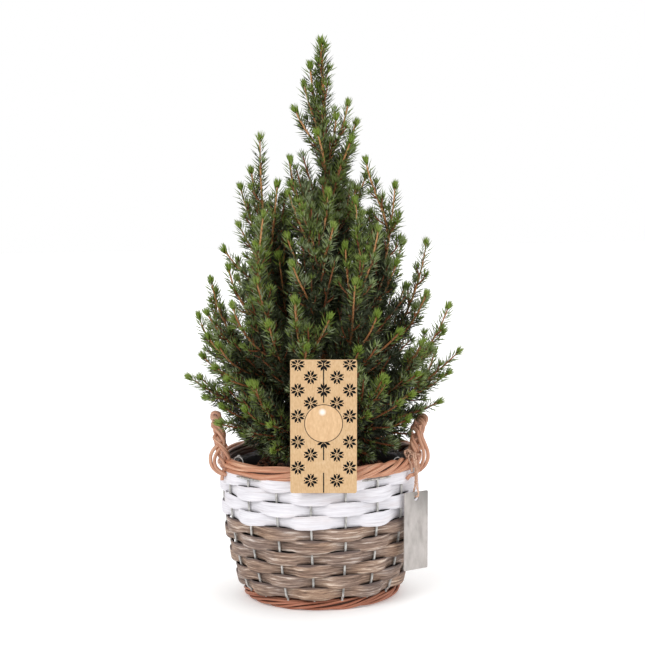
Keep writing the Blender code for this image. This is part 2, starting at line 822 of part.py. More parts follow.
def leader_mass(around):
    """The top of the crown: a sleeve round the trunk, closed over its tip."""
    heights = [height for height, _ in LEADER_SHAPE]
    rings = []
    for i, (height, wanted) in enumerate(LEADER_SHAPE):
        point = trunk_point(height)
        ring = []
        for j in range(MASS_SIDES):
            turn = tau * (j + 0.5 * (i % 2)) / MASS_SIDES
            direction = Vector((cos(turn), sin(turn), 0))
            lump = 1 + MASS_LUMPS * noise(i, j, 99)
            clear = trunk_radius(height) + 3 * GAP
            reach = min(wanted * lump, around.room("leader", point, direction) - 0.0004)
            ring.append(point + direction * max(reach, clear + 0.002))
        rings.append(ring)
    bore_grow = 2 * GAP
    bore_heights = [z for z in heights if z < TRUNK_TIP.z - 0.004] + [TRUNK_TIP.z + GAP]
    bore = trunk_rings([min(z, TRUNK_TIP.z) for z in bore_heights], bore_grow)
    bore[-1] = [p + Vector((0, 0, GAP)) for p in bore[-1]]
    bm = bmesh.new()
    outer = skin(bm, rings)
    inner = skin(bm, bore)
    fan(bm, outer[-1], LEADER_TIP)
    bm.faces.new(inner[-1])
    for i in range(MASS_SIDES):
        j = (i + 1) % MASS_SIDES
        bm.faces.new((outer[0][i], inner[0][i], inner[0][j], outer[0][j]))
    add("needles_leader", to_mesh(bm, "needles_leader"), needles(), False)


def tree():
    trunk()
    around = surroundings()
    for number, (name, limb) in enumerate(LIMBS.items()):
        bough(f"bough_{name}", limb)
        mass(name, number, limb, around)
    around.owners = np.where(around.owners == "trunk", "leader", around.owners)
    leader_mass(around)


def main():
    for obj in list(bpy.data.objects):
        bpy.data.objects.remove(obj, do_unlink=True)
    for k in range(ROWS):
        weave_row(k)
    wire_frame()
    rim()
    foot()
    base_board()
    handle("handle_left", -1, HANDLE_LEFT_TOP)
    handle("handle_right", 1, HANDLE_RIGHT_TOP)
    nursery_pot()
    soil()
    card()
    stake_shape("card_stake", 0.0)
    tag()
    twine()
    tree()
    bpy.context.view_layer.update()


main()
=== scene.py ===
import math
import random

import bpy
import numpy as np
from mathutils import Matrix, Vector


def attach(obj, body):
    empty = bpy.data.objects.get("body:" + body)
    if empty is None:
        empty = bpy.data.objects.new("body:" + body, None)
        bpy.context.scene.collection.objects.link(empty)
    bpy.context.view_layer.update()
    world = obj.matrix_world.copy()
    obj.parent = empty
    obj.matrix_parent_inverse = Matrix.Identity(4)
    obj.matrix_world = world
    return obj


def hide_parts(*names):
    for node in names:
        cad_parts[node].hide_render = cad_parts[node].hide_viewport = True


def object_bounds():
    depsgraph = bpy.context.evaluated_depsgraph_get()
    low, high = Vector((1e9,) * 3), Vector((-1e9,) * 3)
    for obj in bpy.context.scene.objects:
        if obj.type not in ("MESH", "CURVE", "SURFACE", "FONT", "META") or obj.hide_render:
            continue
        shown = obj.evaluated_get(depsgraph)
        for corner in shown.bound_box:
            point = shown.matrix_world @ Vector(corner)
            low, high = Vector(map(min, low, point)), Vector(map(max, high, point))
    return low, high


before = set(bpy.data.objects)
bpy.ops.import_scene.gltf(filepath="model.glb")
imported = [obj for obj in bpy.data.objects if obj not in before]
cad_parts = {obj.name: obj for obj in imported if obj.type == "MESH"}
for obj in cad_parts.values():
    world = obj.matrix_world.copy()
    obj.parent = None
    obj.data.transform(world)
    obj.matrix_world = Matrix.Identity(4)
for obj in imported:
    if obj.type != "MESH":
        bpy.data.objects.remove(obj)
cadLow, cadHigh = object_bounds()
root = "root"
tau = math.tau


# a mesh is gathered in one dictionary: points, faces, finish numbers and where the grain lies
def newShape():
    return {"points": [], "faces": [], "finish": [], "grain": [], "count": 0}


def addRings(shape, rings, grain, closed=False, caps=(True, True), finish=0):
    # quads between each ring of points and the next
    count, sides = rings.shape[:2]
    first = shape["count"]
    shape["points"].append(rings.reshape(-1, 3))
    shape["grain"].append(grain.reshape(-1, 3))
    shape["count"] += count * sides
    for i in range(count if closed else count - 1):
        low, high = first + i * sides, first + (i + 1) % count * sides
        for j in range(sides):
            k = (j + 1) % sides
            shape["faces"].append((low + j, low + k, high + k, high + j))
            shape["finish"].append(finish)
    if not closed and caps[0]:
        shape["faces"].append(tuple(first + j for j in reversed(range(sides))))
        shape["finish"].append(finish)
    if not closed and caps[1]:
        last = first + (count - 1) * sides
        shape["faces"].append(tuple(last + j for j in range(sides)))
        shape["finish"].append(finish)


def unit(vectors):
    return vectors / np.maximum(np.linalg.norm(vectors, axis=-1, keepdims=True), 1e-12)


def carriedFrames(path, closed=False):
    # tangents and two cross directions along a path, carried on without twist
    if closed:
        tangents = unit(np.roll(path, -1, axis=0) - np.roll(path, 1, axis=0))
    else:
        tangents = unit(np.gradient(path, axis=0))
    side = np.cross(tangents[0], (0.0, 0.0, 1.0))
    if np.linalg.norm(side) < 0.1:
        side = np.array((1.0, 0.0, 0.0))
    sides = []
    for tangent in tangents:
        side = side - tangent * side.dot(tangent)
        side = side / np.linalg.norm(side)
        sides.append(side)
    sides = np.array(sides)
    return tangents, sides, np.cross(tangents, sides)


def addTube(shape, path, radius, sides=8, closed=False, lobes=0.0, turns=0.0, lumps=0.0, finish=0, seed=0):
    # a tube along a path; lobes and turns draw the section out into a twisted two-ply yarn
    path = np.asarray(path, float)
    radius = np.broadcast_to(np.asarray(radius, float), len(path))
    across, upward = carriedFrames(path, closed)[1:]
    steps = np.linalg.norm(np.diff(path, axis=0), axis=1)
    along = np.concatenate(([0.0], np.cumsum(steps)))
    spin = tau * turns * along / max(along[-1], 1e-9)
    angles = tau * np.arange(sides) / sides
    swell = 1 - lobes + lobes * np.cos(angles) ** 2
    turned = angles[None, :] + spin[:, None]
    width = radius[:, None] * swell[None, :]
    if lumps:
        phase = seed * 1.7
        broad = np.sin(along[:, None] * 310 + 2 * angles[None, :] + phase)
        fine = np.sin(along[:, None] * 790 - 3 * angles[None, :] + 2 * phase)
        width = width * (1 + lumps * broad + lumps * 0.6 * fine)
    rings = path[:, None, :] + width[..., None] * (
        np.cos(turned)[..., None] * across[:, None, :] + np.sin(turned)[..., None] * upward[:, None, :]
    )
    grain = np.zeros_like(rings)
    grain[..., 0] = along[:, None] + seed * 0.731
    grain[..., 1] = angles[None, :] * radius.mean()
    grain[..., 2] = seed * 0.37
    addRings(shape, rings, grain, closed, (True, True), finish)


def addObject(name, data):
    made = bpy.data.objects.new(name, data)
    bpy.context.scene.collection.objects.link(made)
    return made


def rideAndReplace(piece, nodes=()):
    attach(piece, root)
    if nodes:
        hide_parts(*nodes)
    return piece


def makePiece(name, shape, finishes, nodes=(), smooth=True, sharpAngle=50):
    mesh = bpy.data.meshes.new(name)
    points = np.concatenate(shape["points"])
    mesh.from_pydata(points.tolist(), [], shape["faces"])
    grain = mesh.attributes.new("grain", "FLOAT_VECTOR", "POINT")
    grain.data.foreach_set("vector", np.concatenate(shape["grain"]).ravel().astype(np.float32))
    for finish in finishes:
        mesh.materials.append(finish)
    mesh.polygons.foreach_set("material_index", shape["finish"])
    if smooth:
        mesh.shade_smooth()
        mesh.set_sharp_from_angle(angle=math.radians(sharpAngle))
    mesh.update()
    return rideAndReplace(addObject(name, mesh), nodes)


def smoothRoute(points, count):
    # points on a smooth curve through a few given ones
    ends = [2 * points[0] - points[1], *points, 2 * points[-1] - points[-2]]
    made = []
    for k in range(count):
        t = k / (count - 1) * (len(points) - 1)
        i = min(int(t), len(points) - 2)
        f = t - i
        a, b, c, d = ends[i:i + 4]
        slope = (c - a) * f + (2 * a - 5 * b + 4 * c - d) * f**2 + (3 * b - a - 3 * c + d) * f**3
        made.append(b + slope / 2)
    return made


def waver(angle, seed, turns=(1, 2, 3, 5)):
    # a smooth repeatable unevenness from about -1 to 1 that joins up after a full turn
    draw = random.Random(seed)
    total = 0.0
    for k in turns:
        total = total + np.sin(k * np.asarray(angle) + draw.uniform(0, tau)) * draw.uniform(0.4, 1.0)
    return total / len(turns) ** 0.5 / 0.9


def bearing(angle, radius, height):
    # a point at an angle from the front, towards +X
    return Vector((radius * math.sin(angle), -radius * math.cos(angle), height))


def ringPoints(angle, reach, height):
    # the same for a whole row of angles
    return np.stack(np.broadcast_arrays(reach * np.sin(angle), -reach * np.cos(angle), height), axis=-1)


def srgb(red, green, blue):
    # a colour as a screen shows it, 0 to 255, as the plain base colour that gives it
    scaled = [value / 255 for value in (red, green, blue)]
    return tuple(v / 12.92 if v <= 0.04045 else ((v + 0.055) / 1.055) ** 2.4 for v in scaled)


# materials
def setSockets(finish, values):
    for key, value in values.items():
        finish.node_tree.nodes["Principled BSDF"].inputs[key].default_value = value


def newFinish(name, colour, roughness, metallic=0.0):
    finish = bpy.data.materials.new(name)
    finish.use_nodes = True
    setSockets(finish, {"Base Color": (*colour, 1), "Roughness": roughness, "Metallic": metallic})
    finish.diffuse_color = (*colour, 1)
    return finish


def addNode(finish, kind, inputs=None, **settings):
    node = finish.node_tree.nodes.new(kind)
    for key, value in settings.items():
        setattr(node, key, value)
    for key, value in (inputs or {}).items():
        if isinstance(value, bpy.types.NodeSocket):
            finish.node_tree.links.new(value, node.inputs[key])
        else:
            node.inputs[key].default_value = value
    return node


def wire(finish, socket, target):
    shader = finish.node_tree.nodes["Principled BSDF"]
    finish.node_tree.links.new(socket, shader.inputs[target])


def noiseOn(finish, place, scale, stretch=(1, 1, 1), detail=4.0, rough=0.55):
    mapped = addNode(finish, "ShaderNodeMapping", {"Vector": place, "Scale": stretch})
    noise = addNode(
        finish, "ShaderNodeTexNoise",
        {"Vector": mapped.outputs[0], "Scale": scale, "Detail": detail, "Roughness": rough},
    )
    return noise.outputs["Fac"]


def grainPlace(finish):
    return addNode(finish, "ShaderNodeAttribute", attribute_name="grain").outputs["Vector"]


def objectPlace(finish):
    return addNode(finish, "ShaderNodeTexCoord").outputs["Object"]


def ramp(finish, value, stops):
    node = addNode(finish, "ShaderNodeValToRGB", {"Fac": value})
    marks = node.color_ramp.elements
    while len(marks) < len(stops):
        marks.new(0.5)
    for mark, (place, colour) in zip(marks, stops):
        mark.position = place
        mark.color = (*colour, 1)
    return node.outputs["Color"]


def mixColours(finish, share, one, other, blend="MIX"):
    node = addNode(finish, "ShaderNodeMix", data_type="RGBA", blend_type=blend)
    for key, value in ((0, share), (6, one), (7, other)):
        if isinstance(value, bpy.types.NodeSocket):
            finish.node_tree.links.new(value, node.inputs[key])
        elif key == 0:
            node.inputs[key].default_value = value
        else:
            node.inputs[key].default_value = (*value, 1)
    return node.outputs[2]


def mapRange(finish, value, low, high, toLow, toHigh):
    node = addNode(
        finish, "ShaderNodeMapRange",
        {"Value": value, "From Min": low, "From Max": high, "To Min": toLow, "To Max": toHigh},
    )
    return node.outputs["Result"]


def layOver(finish, under, colour, value, low, high, most, least=0.0):
    # another colour over this one, the more the further the value goes from low to high
    return mixColours(finish, mapRange(finish, value, low, high, least, most), under, colour)


def calculate(finish, operation, *values):
    return addNode(finish, "ShaderNodeMath", dict(enumerate(values)), operation=operation).outputs[0]


def distanceTo(finish, place, point):
    node = addNode(finish, "ShaderNodeVectorMath", {0: place, 1: tuple(point)}, operation="DISTANCE")
    return node.outputs["Value"]


def heightOf(finish):
    return addNode(finish, "ShaderNodeSeparateXYZ", {"Vector": objectPlace(finish)}).outputs["Z"]


def bumpFrom(finish, height, strength, distance):
    node = addNode(finish, "ShaderNodeBump", {"Height": height, "Strength": strength, "Distance": distance})
    wire(finish, node.outputs["Normal"], "Normal")


def mottled(name, colour, roughness, place, noise, shades, bump=None, metallic=0.0, rougher=None):
    # a finish whose colour, gloss and shallow relief all follow one noise
    finish = newFinish(name, srgb(*colour), roughness, metallic)
    patches = noiseOn(finish, place(finish), *noise)
    wire(finish, ramp(finish, patches, [(at, srgb(*shade)) for at, shade in shades]), "Base Color")
    if rougher:
        wire(finish, mapRange(finish, patches, 0.3, 0.8, *rougher), "Roughness")
    if bump:
        bumpFrom(finish, patches, *bump)
    return finish


# camera
cameraLook = {
    "elevation": math.radians(6.04),
    "roll": -0.01937,
    "distance": 1.672,
    "targetHeight": 0.2825,
    "sideways": 0.0058,       # the object stands this far left of the frame's middle
    "lens": 90.3,
}


def makeCamera():
    look = cameraLook
    lens = bpy.data.cameras.new("viewCamera")
    lens.lens = look["lens"]
    lens.sensor_width = 36.0
    lens.clip_start = 0.05
    lens.clip_end = 50.0
    camera = addObject("viewCamera", lens)
    turn = Matrix.Rotation(math.pi / 2 - look["elevation"], 4, "X") @ Matrix.Rotation(look["roll"], 4, "Z")
    forward = Vector((0, math.cos(look["elevation"]), -math.sin(look["elevation"])))
    place = Vector((0, 0, look["targetHeight"])) - forward * look["distance"]
    place += turn.to_3x3() @ Vector((look["sideways"], 0, 0))
    camera.matrix_world = Matrix.Translation(place) @ turn
    bpy.context.scene.camera = camera


makeCamera()
print("camera placed")

# twine: down from the handle's front leg, through the tag's hole and back up beside itself
tag = {
    "turn": math.radians(35),
    "lean": math.radians(-1.4),
    "hole": Vector((0.0966, -0.0600, 0.1090)),
    "holeRadius": 0.00275,
}
twine = {
    "radius": 0.00095,
    "loose": 1.2,              # the plies stand this much out from a tight twine
    "gap": 0.0003,
    "turn": 0.0038,
    "start": Vector((0.0957, -0.0475, 0.1530)),
    "shoulder": Vector((0.0962, -0.0540, 0.1490)),
    "spread": 0.0012,
    "pliesPerMetre": 260,
    "lobes": 0.42,
    "sides": 14,
    "colour": (212, 168, 142),
    "shades": ((0.30, (142, 94, 72)), (0.48, (212, 168, 142)), (0.70, (232, 204, 182))),
}
# the knot beside the handle's leg: turns wound round the leg, a tied lump and a short tail
knot = {
    "legFoot": Vector((0.0962, -0.0405, 0.1525)),
    "legLean": Vector((0.10, 0.22, 1.0)),
    "windings": 1.4,
    "windingReach": 0.0068,
    "windingRise": 0.0030,
    "middle": Vector((0.0912, -0.0492, 0.1518)),
    "tailFrom": Vector((-0.001, -0.0014, 0.000)),
    "tail": (
        Vector((0.0900, -0.0532, 0.1480)), Vector((0.0922, -0.0560, 0.1432)),
        Vector((0.0932, -0.0565, 0.1385)), Vector((0.0926, -0.0562, 0.1350)),
    ),
    "sides": 10,
}


def jute():
    strands = (1500, (0.35, 1, 1), 3)
    return mottled("jute", twine["colour"], 0.9, grainPlace, strands, twine["shades"], (0.8, 0.0005))


def tagAxes():
    across = Vector((math.cos(tag["turn"]), math.sin(tag["turn"]), 0))
    face = Vector((math.sin(tag["turn"]), -math.cos(tag["turn"]), 0))
    lean = Matrix.Rotation(tag["lean"], 3, face)
    return lean @ across, lean @ Vector((0, 0, 1)), face


def twineRoute(count):
    across, upward, face = tagAxes()
    turn = tag["hole"] + upward * (tag["holeRadius"] - twine["gap"] - twine["radius"])
    down, up = [], []
    for side, half in ((1, down), (-1, up)):
        apart = face * side
        half.append(twine["start"] + across * side * twine["spread"])
        half.append(twine["shoulder"] + across * side * twine["spread"])
        half.append(turn + upward * 0.026 + apart * twine["spread"] + Vector((0, 0.0015, 0)))
        half.append(turn + upward * 0.012 + apart * twine["spread"] * 1.3)
        half.append(turn + upward * 0.0045 + apart * twine["turn"])
        half.append(turn + upward * 0.0010 + apart * twine["turn"] * 0.72)
    return smoothRoute([*down, turn, *up[::-1]], count)


def addFibres(shape, path, reach, count, seed):
    # short loose hairs that stand out of the yarn
    draw = random.Random(seed)

    def anyWay():
        return Vector((draw.gauss(0, 1), draw.gauss(0, 1), draw.gauss(0, 1)))

    for n in range(count):
        start = Vector(path[draw.randrange(1, len(path) - 1)])
        away = anyWay().normalized()
        bend = anyWay() * reach * 0.3
        points = [start + away * reach * t + bend * t * t for t in (0.2, 0.5, 0.8, 1.0)]
        addTube(shape, points, (0.00009, 0.00008, 0.00007, 0.00004), 3, seed=seed + n)


def windRoundLeg(count):
    lean = knot["legLean"].normalized()
    east = Vector((1, 0, 0)) - lean * lean.x
    east.normalize()
    north = lean.cross(east)
    wound = []
    for i in range(count):
        share = i / (count - 1)
        turn = tau * knot["windings"] * i / (count - 1)
        reach = knot["windingReach"] + 0.0004 * math.sin(turn * 1.7)
        lift = knot["windingRise"] * share * math.cos(turn * 0.5) + 0.0008 * math.sin(turn * 2.1)
        out = east * reach * math.cos(turn) + north * reach * math.sin(turn)
        wound.append(knot["legFoot"] + out + lean * lift)
    return wound


def tieLump(count):
    tied = []
    for i in range(count):
        turn = tau * i / (count - 1)
        tied.append(knot["middle"] + Vector((
            0.0036 * math.sin(2 * turn) + 0.0015 * math.sin(turn),
            0.0024 * math.cos(3 * turn),
            0.0040 * math.cos(2 * turn + 0.6) + 0.0009 * math.sin(5 * turn),
        )))
    return tied


def makeTwine():
    finish = jute()
    route = twineRoute(150)
    length = sum((b - a).length for a, b in zip(route, route[1:]))
    plies = length * twine["pliesPerMetre"] / 2
    yarn = newShape()
    thick = twine["radius"] * twine["loose"]
    addTube(yarn, route, thick, twine["sides"], lobes=twine["lobes"], turns=plies, seed=3)
    piece = makePiece("twine", yarn, [finish], ["jute_twine"])
    shape = newShape()
    wound = windRoundLeg(150)
    tied = tieLump(90)
    tail = smoothRoute([knot["middle"] + knot["tailFrom"], *knot["tail"]], 40)
    # each run's thickness, lobes, plies and seed, then the reach, number and seed of its loose hairs
    for run, thick, lobes, plies, seed in (
        (wound, 0.00125, 0.42, 30, 5), (tied, 0.0015, 0.40, 20, 6), (tail, 0.0013, 0.42, 7, 7),
    ):
        addTube(shape, run, thick, knot["sides"], lobes=lobes, turns=plies, seed=seed)
    for run, reach, count, seed in (
        (wound, 0.0022, 24, 1100), (tied, 0.0024, 60, 1200), (tail, 0.0018, 20, 1300),
        (route, 0.0018, 60, 1400),
    ):
        addFibres(shape, run, reach, count, seed)
    knotPiece = makePiece("twineKnot", shape, [finish])
    print("twine tied, length", round(length, 4))


makeTwine()

# basket: sizes as the CAD frame has them
wall = {
    "uprights": 18,
    "phase": math.radians(-5.4),
    "wireRadius": 0.0011,
    "wireSeen": 0.00118,
    "curlRadius": 0.0006,
    "footStart": 0.0095,      # an upright starts at this height within the foot
    "footLean": 0.0120,       # and stands a little further out from this one
    "rows": 10,
    "whiteRows": 4,
    "pitch": 0.01255,
    "topRow": 0.1320,
    "topRadius": 0.1007,
    "taper": 0.0222,
    "taperPower": 2.15,
}


def wallRadius(height):
    depth = np.maximum(0.0, 1 - np.asarray(height) / wall["topRow"])
    return wall["topRadius"] - wall["taper"] * depth ** wall["taperPower"]


strip = {
    "thickness": 0.0012,
    "edgeThinning": 0.35,     # its two edges are thinner by this share
    "swing": 0.0028,          # how far a strip stands out before a wire, and in behind one
    "squareness": {True: 0.72, False: 0.62},
    "halfCrest": 0.0071,      # half its height where it stands out
    "halfMiddle": 0.0064,
    "halfBehind": 0.0058,
    "bulge": 0.0005,
    "fold": 0.00035,          # a weathered strip's extra fold where it stands out
    "lean": 0.0006,           # its top edge tucks in and its lower edge stands out
    "steps": 16,              # from one wire to the next
    "profile": (-1.0, -0.82, -0.45, 0.0, 0.45, 0.82, 1.0),
    "highest": 0.1366,        # the top strip stays under the rim
    "grainStep": 1.37,        # how far one strip's grain lies from the next one's
    "uneven": {"half": 0.00028, "tilt": 0.00045, "centre": 0.0003, "swing": 0.00025, "edge": 0.00018},
}


def whiteWillow():
    finish = newFinish("whiteWillow", srgb(214, 216, 224), 0.72)
    place = grainPlace(finish)
    streaks = noiseOn(finish, place, 1.0, (38, 620, 9), 5, 0.62)
    broad = noiseOn(finish, place, 1.0, (22, 130, 5), 3)
    base = ramp(finish, streaks, [
        (0.20, srgb(172, 162, 162)), (0.38, srgb(216, 213, 219)),
        (0.60, srgb(233, 231, 236)), (0.85, srgb(244, 242, 245)),
    ])
    wire(finish, layOver(finish, base, srgb(214, 198, 192), broad, 0.52, 0.80, 0.36), "Base Color")
    bumpFrom(finish, streaks, 0.55, 0.0006)
    return finish


def standingOut(finish, place):
    # 1 where a strip stands out before a wire, -1 where it passes behind one; then how high on the strip
    parts = addNode(finish, "ShaderNodeSeparateXYZ", {"Vector": place}).outputs
    row = calculate(finish, "MULTIPLY_ADD", parts["Z"], math.pi / strip["grainStep"], 0.0)
    turns = wall["uprights"] / 2 / wall["topRadius"]
    phase = calculate(finish, "MULTIPLY_ADD", parts["X"], turns, row)
    return calculate(finish, "COSINE", phase), parts["Y"]


def weatheredWillow():
    finish = newFinish("weatheredWillow", srgb(120, 104, 92), 0.66)
    place = grainPlace(finish)
    streaks = noiseOn(finish, place, 1.0, (34, 560, 9), 6, 0.70)
    broad = noiseOn(finish, place, 1.0, (30, 150, 5), 3)
    tone = noiseOn(finish, place, 1.0, (14, 20, 3), 2)
    base = ramp(finish, streaks, [
        (0.32, srgb(62, 47, 40)), (0.43, srgb(132, 109, 95)),
        (0.55, srgb(178, 154, 137)), (0.65, srgb(246, 235, 224)),
    ])
    tinted = layOver(finish, base, srgb(104, 86, 78), broad, 0.46, 0.72, 0.50)
    greyer = mixColours(finish, 1.0, tinted, srgb(226, 225, 228), "MULTIPLY")
    warmer = mixColours(finish, 1.0, tinted, srgb(250, 238, 224), "MULTIPLY")
    toned = layOver(finish, greyer, warmer, tone, 0.38, 0.62, 1.0)
    # painted shade: darker where it passes behind a wire, and along both edges at the gaps between rows
    crest, edge = standingOut(finish, place)
    behind = layOver(finish, toned, srgb(64, 50, 44), crest, -0.60, -0.95, 0.18)
    uneven = calculate(finish, "ADD", edge, mapRange(finish, broad, 0.3, 0.7, -0.0016, 0.0016))
    # painted shade along the top edge, under the row above, and along the lower edge
    topShade = layOver(finish, behind, srgb(78, 62, 60), uneven, 0.0046, 0.0062, 0.80)
    lowShade = layOver(finish, topShade, srgb(84, 66, 58), uneven, -0.0058, -0.0068, 0.62)
    wire(finish, lowShade, "Base Color")
    bumpFrom(finish, streaks, 0.75, 0.0008)
    return finish


def makeStrips():
    finishes = {True: whiteWillow(), False: weatheredWillow()}
    profile, uneven = strip["profile"], strip["uneven"]
    slots = 2 * len(profile)
    count = wall["uprights"] * strip["steps"] + 1
    angle = math.pi + tau * np.arange(count) / (count - 1)
    turned = wall["phase"] + angle
    for k in range(wall["rows"]):
        white = k < wall["whiteRows"]
        middle = wall["topRow"] - wall["pitch"] * k
        phase = (angle * wall["uprights"] / 2) + (math.pi if k % 2 == 0 else 0)
        wave = np.cos(phase)
        facing = np.maximum(wave, 0.0)
        shaped = np.sign(wave) * np.abs(wave) ** strip["squareness"][white]
        before = strip["halfMiddle"] + (strip["halfCrest"] - strip["halfMiddle"]) * np.abs(wave)
        behind = strip["halfMiddle"] - (strip["halfMiddle"] - strip["halfBehind"]) * np.abs(wave) ** 0.8
        half = np.where(wave > 0, before, behind) + uneven["half"] * waver(angle, 40 + k, (7, 11, 13, 17))
        tilt = uneven["tilt"] * waver(angle, 60 + k, (4, 9, 14))
        centre = middle + uneven["centre"] * waver(angle, 80 + k, (3, 5, 8, 12))
        swing = strip["swing"] * shaped + uneven["swing"] * waver(angle, 90 + k, (6, 10, 19))
        rings = np.zeros((count, slots, 3))
        grain = np.zeros_like(rings)
        for n, t in enumerate(profile):
            edge = uneven["edge"] * waver(angle, 200 + 20 * k + n, (21, 34, 55))
            height = centre + half * t + tilt * t * t + edge
            if k == 0:
                height = np.minimum(height, strip["highest"] - 0.0004 * n / len(profile))
            bulged = strip["bulge"] * (1 - t**4) * (0.4 + 0.6 * facing)
            if not white:
                bulged = bulged + strip["fold"] * facing * np.abs(np.sin(phase * 0.5 + t)) ** 3
            leaning = strip["lean"] * t * (0.3 + 0.7 * facing)
            thin = strip["thickness"] * (strip["edgeThinning"] if abs(t) == 1.0 else 1.0)
            for slot, side in ((n, 0.5), (slots - 1 - n, -0.5)):
                reach = wallRadius(height) + swing + side * thin + bulged - leaning
                rings[:, slot] = ringPoints(turned, reach, height)
                grain[:, slot, 0] = (angle - math.pi) * wall["topRadius"]
                grain[:, slot, 1] = half * t
                grain[:, slot, 2] = k * strip["grainStep"]
        shape = newShape()
        addRings(shape, rings[:, ::-1], grain[:, ::-1])
        node = f"weave_row_{k + 1:02d}"
        makePiece(f"strip{k + 1:02d}", shape, [finishes[white]], [node], sharpAngle=60)
    print("strips woven")


makeStrips()


def wireSteel():
    shades = ((0.30, (122, 120, 118)), (0.52, (188, 186, 182)), (0.80, (222, 220, 216)))
    return mottled("wireSteel", (206, 206, 204), 0.42, objectPlace, (420, (1, 1, 0.4), 4), shades,
                   (0.3, 0.0003), 0.35, rougher=(0.58, 0.34))


foot = {"radius": 0.0765, "halfWidth": 0.0062, "height": 0.0112}
rim = {"radius": 0.1000, "halfWidth": 0.0060, "low": 0.1355, "high": 0.1490}


# ends of thin wire that curl up behind the rim
wireEnds = (
    ((-0.0855, -0.0450, 0.1430), (-0.0862, -0.0455, 0.1490), (-0.0842, -0.0465, 0.1517),
     (-0.0812, -0.0480, 0.1522), (-0.0780, -0.0500, 0.1500), (-0.0765, -0.0515, 0.1440)),
    ((-0.0825, -0.0430, 0.1430), (-0.0832, -0.0435, 0.1510), (-0.0815, -0.0445, 0.1532),
     (-0.0790, -0.0460, 0.1515)),
    ((0.0735, -0.0570, 0.1440), (0.0752, -0.0570, 0.1480), (0.0777, -0.0562, 0.1500),
     (0.0805, -0.0550, 0.1495), (0.0825, -0.0535, 0.1460)),
)


def makeWires():
    shape = newShape()
    hoopHeight = rim["low"] - 0.0003 - wall["wireRadius"]
    hoop = [bearing(tau * i / 144, float(wallRadius(hoopHeight)), hoopHeight) for i in range(144)]
    addTube(shape, hoop, wall["wireRadius"], 10, closed=True)
    footReach = foot["radius"] + 0.50 * foot["halfWidth"]
    bend = wall["topRow"] - wall["pitch"] * (wall["rows"] - 0.7)
    for i in range(wall["uprights"]):
        angle = wall["phase"] + tau * i / wall["uprights"]
        path = [bearing(angle, footReach, wall["footStart"])]
        path.append(bearing(angle, footReach + 0.0006, wall["footLean"]))
        for z in np.linspace(bend, hoopHeight, 26):
            path.append(bearing(angle + 0.002 * math.sin(z * 190 + i), float(wallRadius(z)), float(z)))
        addTube(shape, smoothRoute(path, 56), wall["wireSeen"], 10, lumps=0.03, seed=i)
    for points in wireEnds:
        addTube(shape, smoothRoute([Vector(point) for point in points], 24), wall["curlRadius"], 8)
    makePiece("wires", shape, [wireSteel()], ["wire_frame"])


makeWires()

# peeled rods: pale, plain, dark and red tones
peeled = {
    "rim": (srgb(230, 186, 154), srgb(186, 128, 96), srgb(84, 42, 26), srgb(178, 100, 70)),
    "foot": (srgb(208, 146, 118), srgb(158, 96, 70), srgb(54, 24, 17), srgb(152, 78, 52)),
    "handle": (srgb(222, 180, 152), srgb(184, 130, 102), srgb(84, 46, 32), srgb(168, 106, 80)),
    "core": (srgb(96, 60, 44), srgb(66, 38, 28), srgb(34, 20, 14), srgb(58, 30, 22)),
}


def peeledWillow(name, redder, roughness, innerShade=None):
    # a peeled rod: long streaks, redder patches and small dark marks; where asked, painted shade darkens the
    # side that faces in towards the soil
    pale, plain, dark, red = peeled[name]
    finish = newFinish(name + "Willow", plain, roughness)
    place = grainPlace(finish)
    streaks = noiseOn(finish, place, 1.0, (38, 1100, 30), 5, 0.62)
    patches = noiseOn(finish, place, 1.0, (26, 60, 40), 4)
    marks = noiseOn(finish, place, 1.0, (190, 420, 60), 2)
    base = ramp(finish, streaks, [(0.28, dark), (0.42, plain), (0.66, pale)])
    tinted = layOver(finish, base, red, patches, 0.40, 0.66, 0.25 + redder, 0.05)
    marked = layOver(finish, tinted, dark, marks, 0.64, 0.78, 0.75)
    # painted shade on the ring's inner side, away from the light
    if innerShade:
        flat = {0: objectPlace(finish), 1: (1, 1, 0)}
        level = addNode(finish, "ShaderNodeVectorMath", flat, operation="MULTIPLY")
        away = distanceTo(finish, level.outputs[0], (0, 0, 0))
        marked = layOver(finish, marked, srgb(52, 32, 24), away, *innerShade, 0.72)
    wire(finish, marked, "Base Color")
    wire(finish, mapRange(finish, streaks, 0.3, 0.7, roughness + 0.12, roughness - 0.08), "Roughness")
    bumpFrom(finish, streaks, 0.45, 0.0005)
    return finish


rimRods = {
    "count": 6, "radius": 0.0023, "radial": 0.0040, "upright": 0.0049, "turns": 4,
    "sway": 4.0, "stray": 0.0006, "seed": 21, "core": 0.0034,
}
footRods = {
    "count": 8, "radius": 0.00128, "radial": 0.0046, "upright": 0.0041, "turns": 3,
    "sway": 0.0, "stray": 0.0004, "seed": 31, "core": 0.0031,
}


def twistedRing(name, rods, radius, middle, finish, node):
    # rods wound slowly round each other in a ring, round a dark core that is painted shade for the gaps
    # between the rods
    shape = newShape()
    count = 300
    angle = tau * np.arange(count) / count
    for j in range(rods["count"]):
        seed = rods["seed"] + j
        turned = tau * j / rods["count"] + angle * rods["turns"] - rods["sway"] * np.cos(angle)
        turned = turned + 0.30 * waver(angle, seed, (2, 3, 5))
        reach = radius + rods["radial"] * np.cos(turned) + rods["stray"] * waver(angle, seed + 50, (5, 9, 12))
        height = middle + rods["upright"] * np.sin(turned)
        height = height + rods["stray"] * waver(angle, seed + 90, (4, 7, 11))
        thick = rods["radius"] * (1 + 0.10 * waver(angle, seed + 130, (1, 2, 4)))
        addTube(shape, ringPoints(angle, reach, height), thick, 12, closed=True, lumps=0.012, seed=seed)
    # the dark core is painted shade, seen through the gaps between the rods
    addTube(shape, ringPoints(angle, radius, middle), rods["core"], 10, closed=True, finish=1)
    makePiece(name, shape, [finish, shadeCoreWillow], [node])
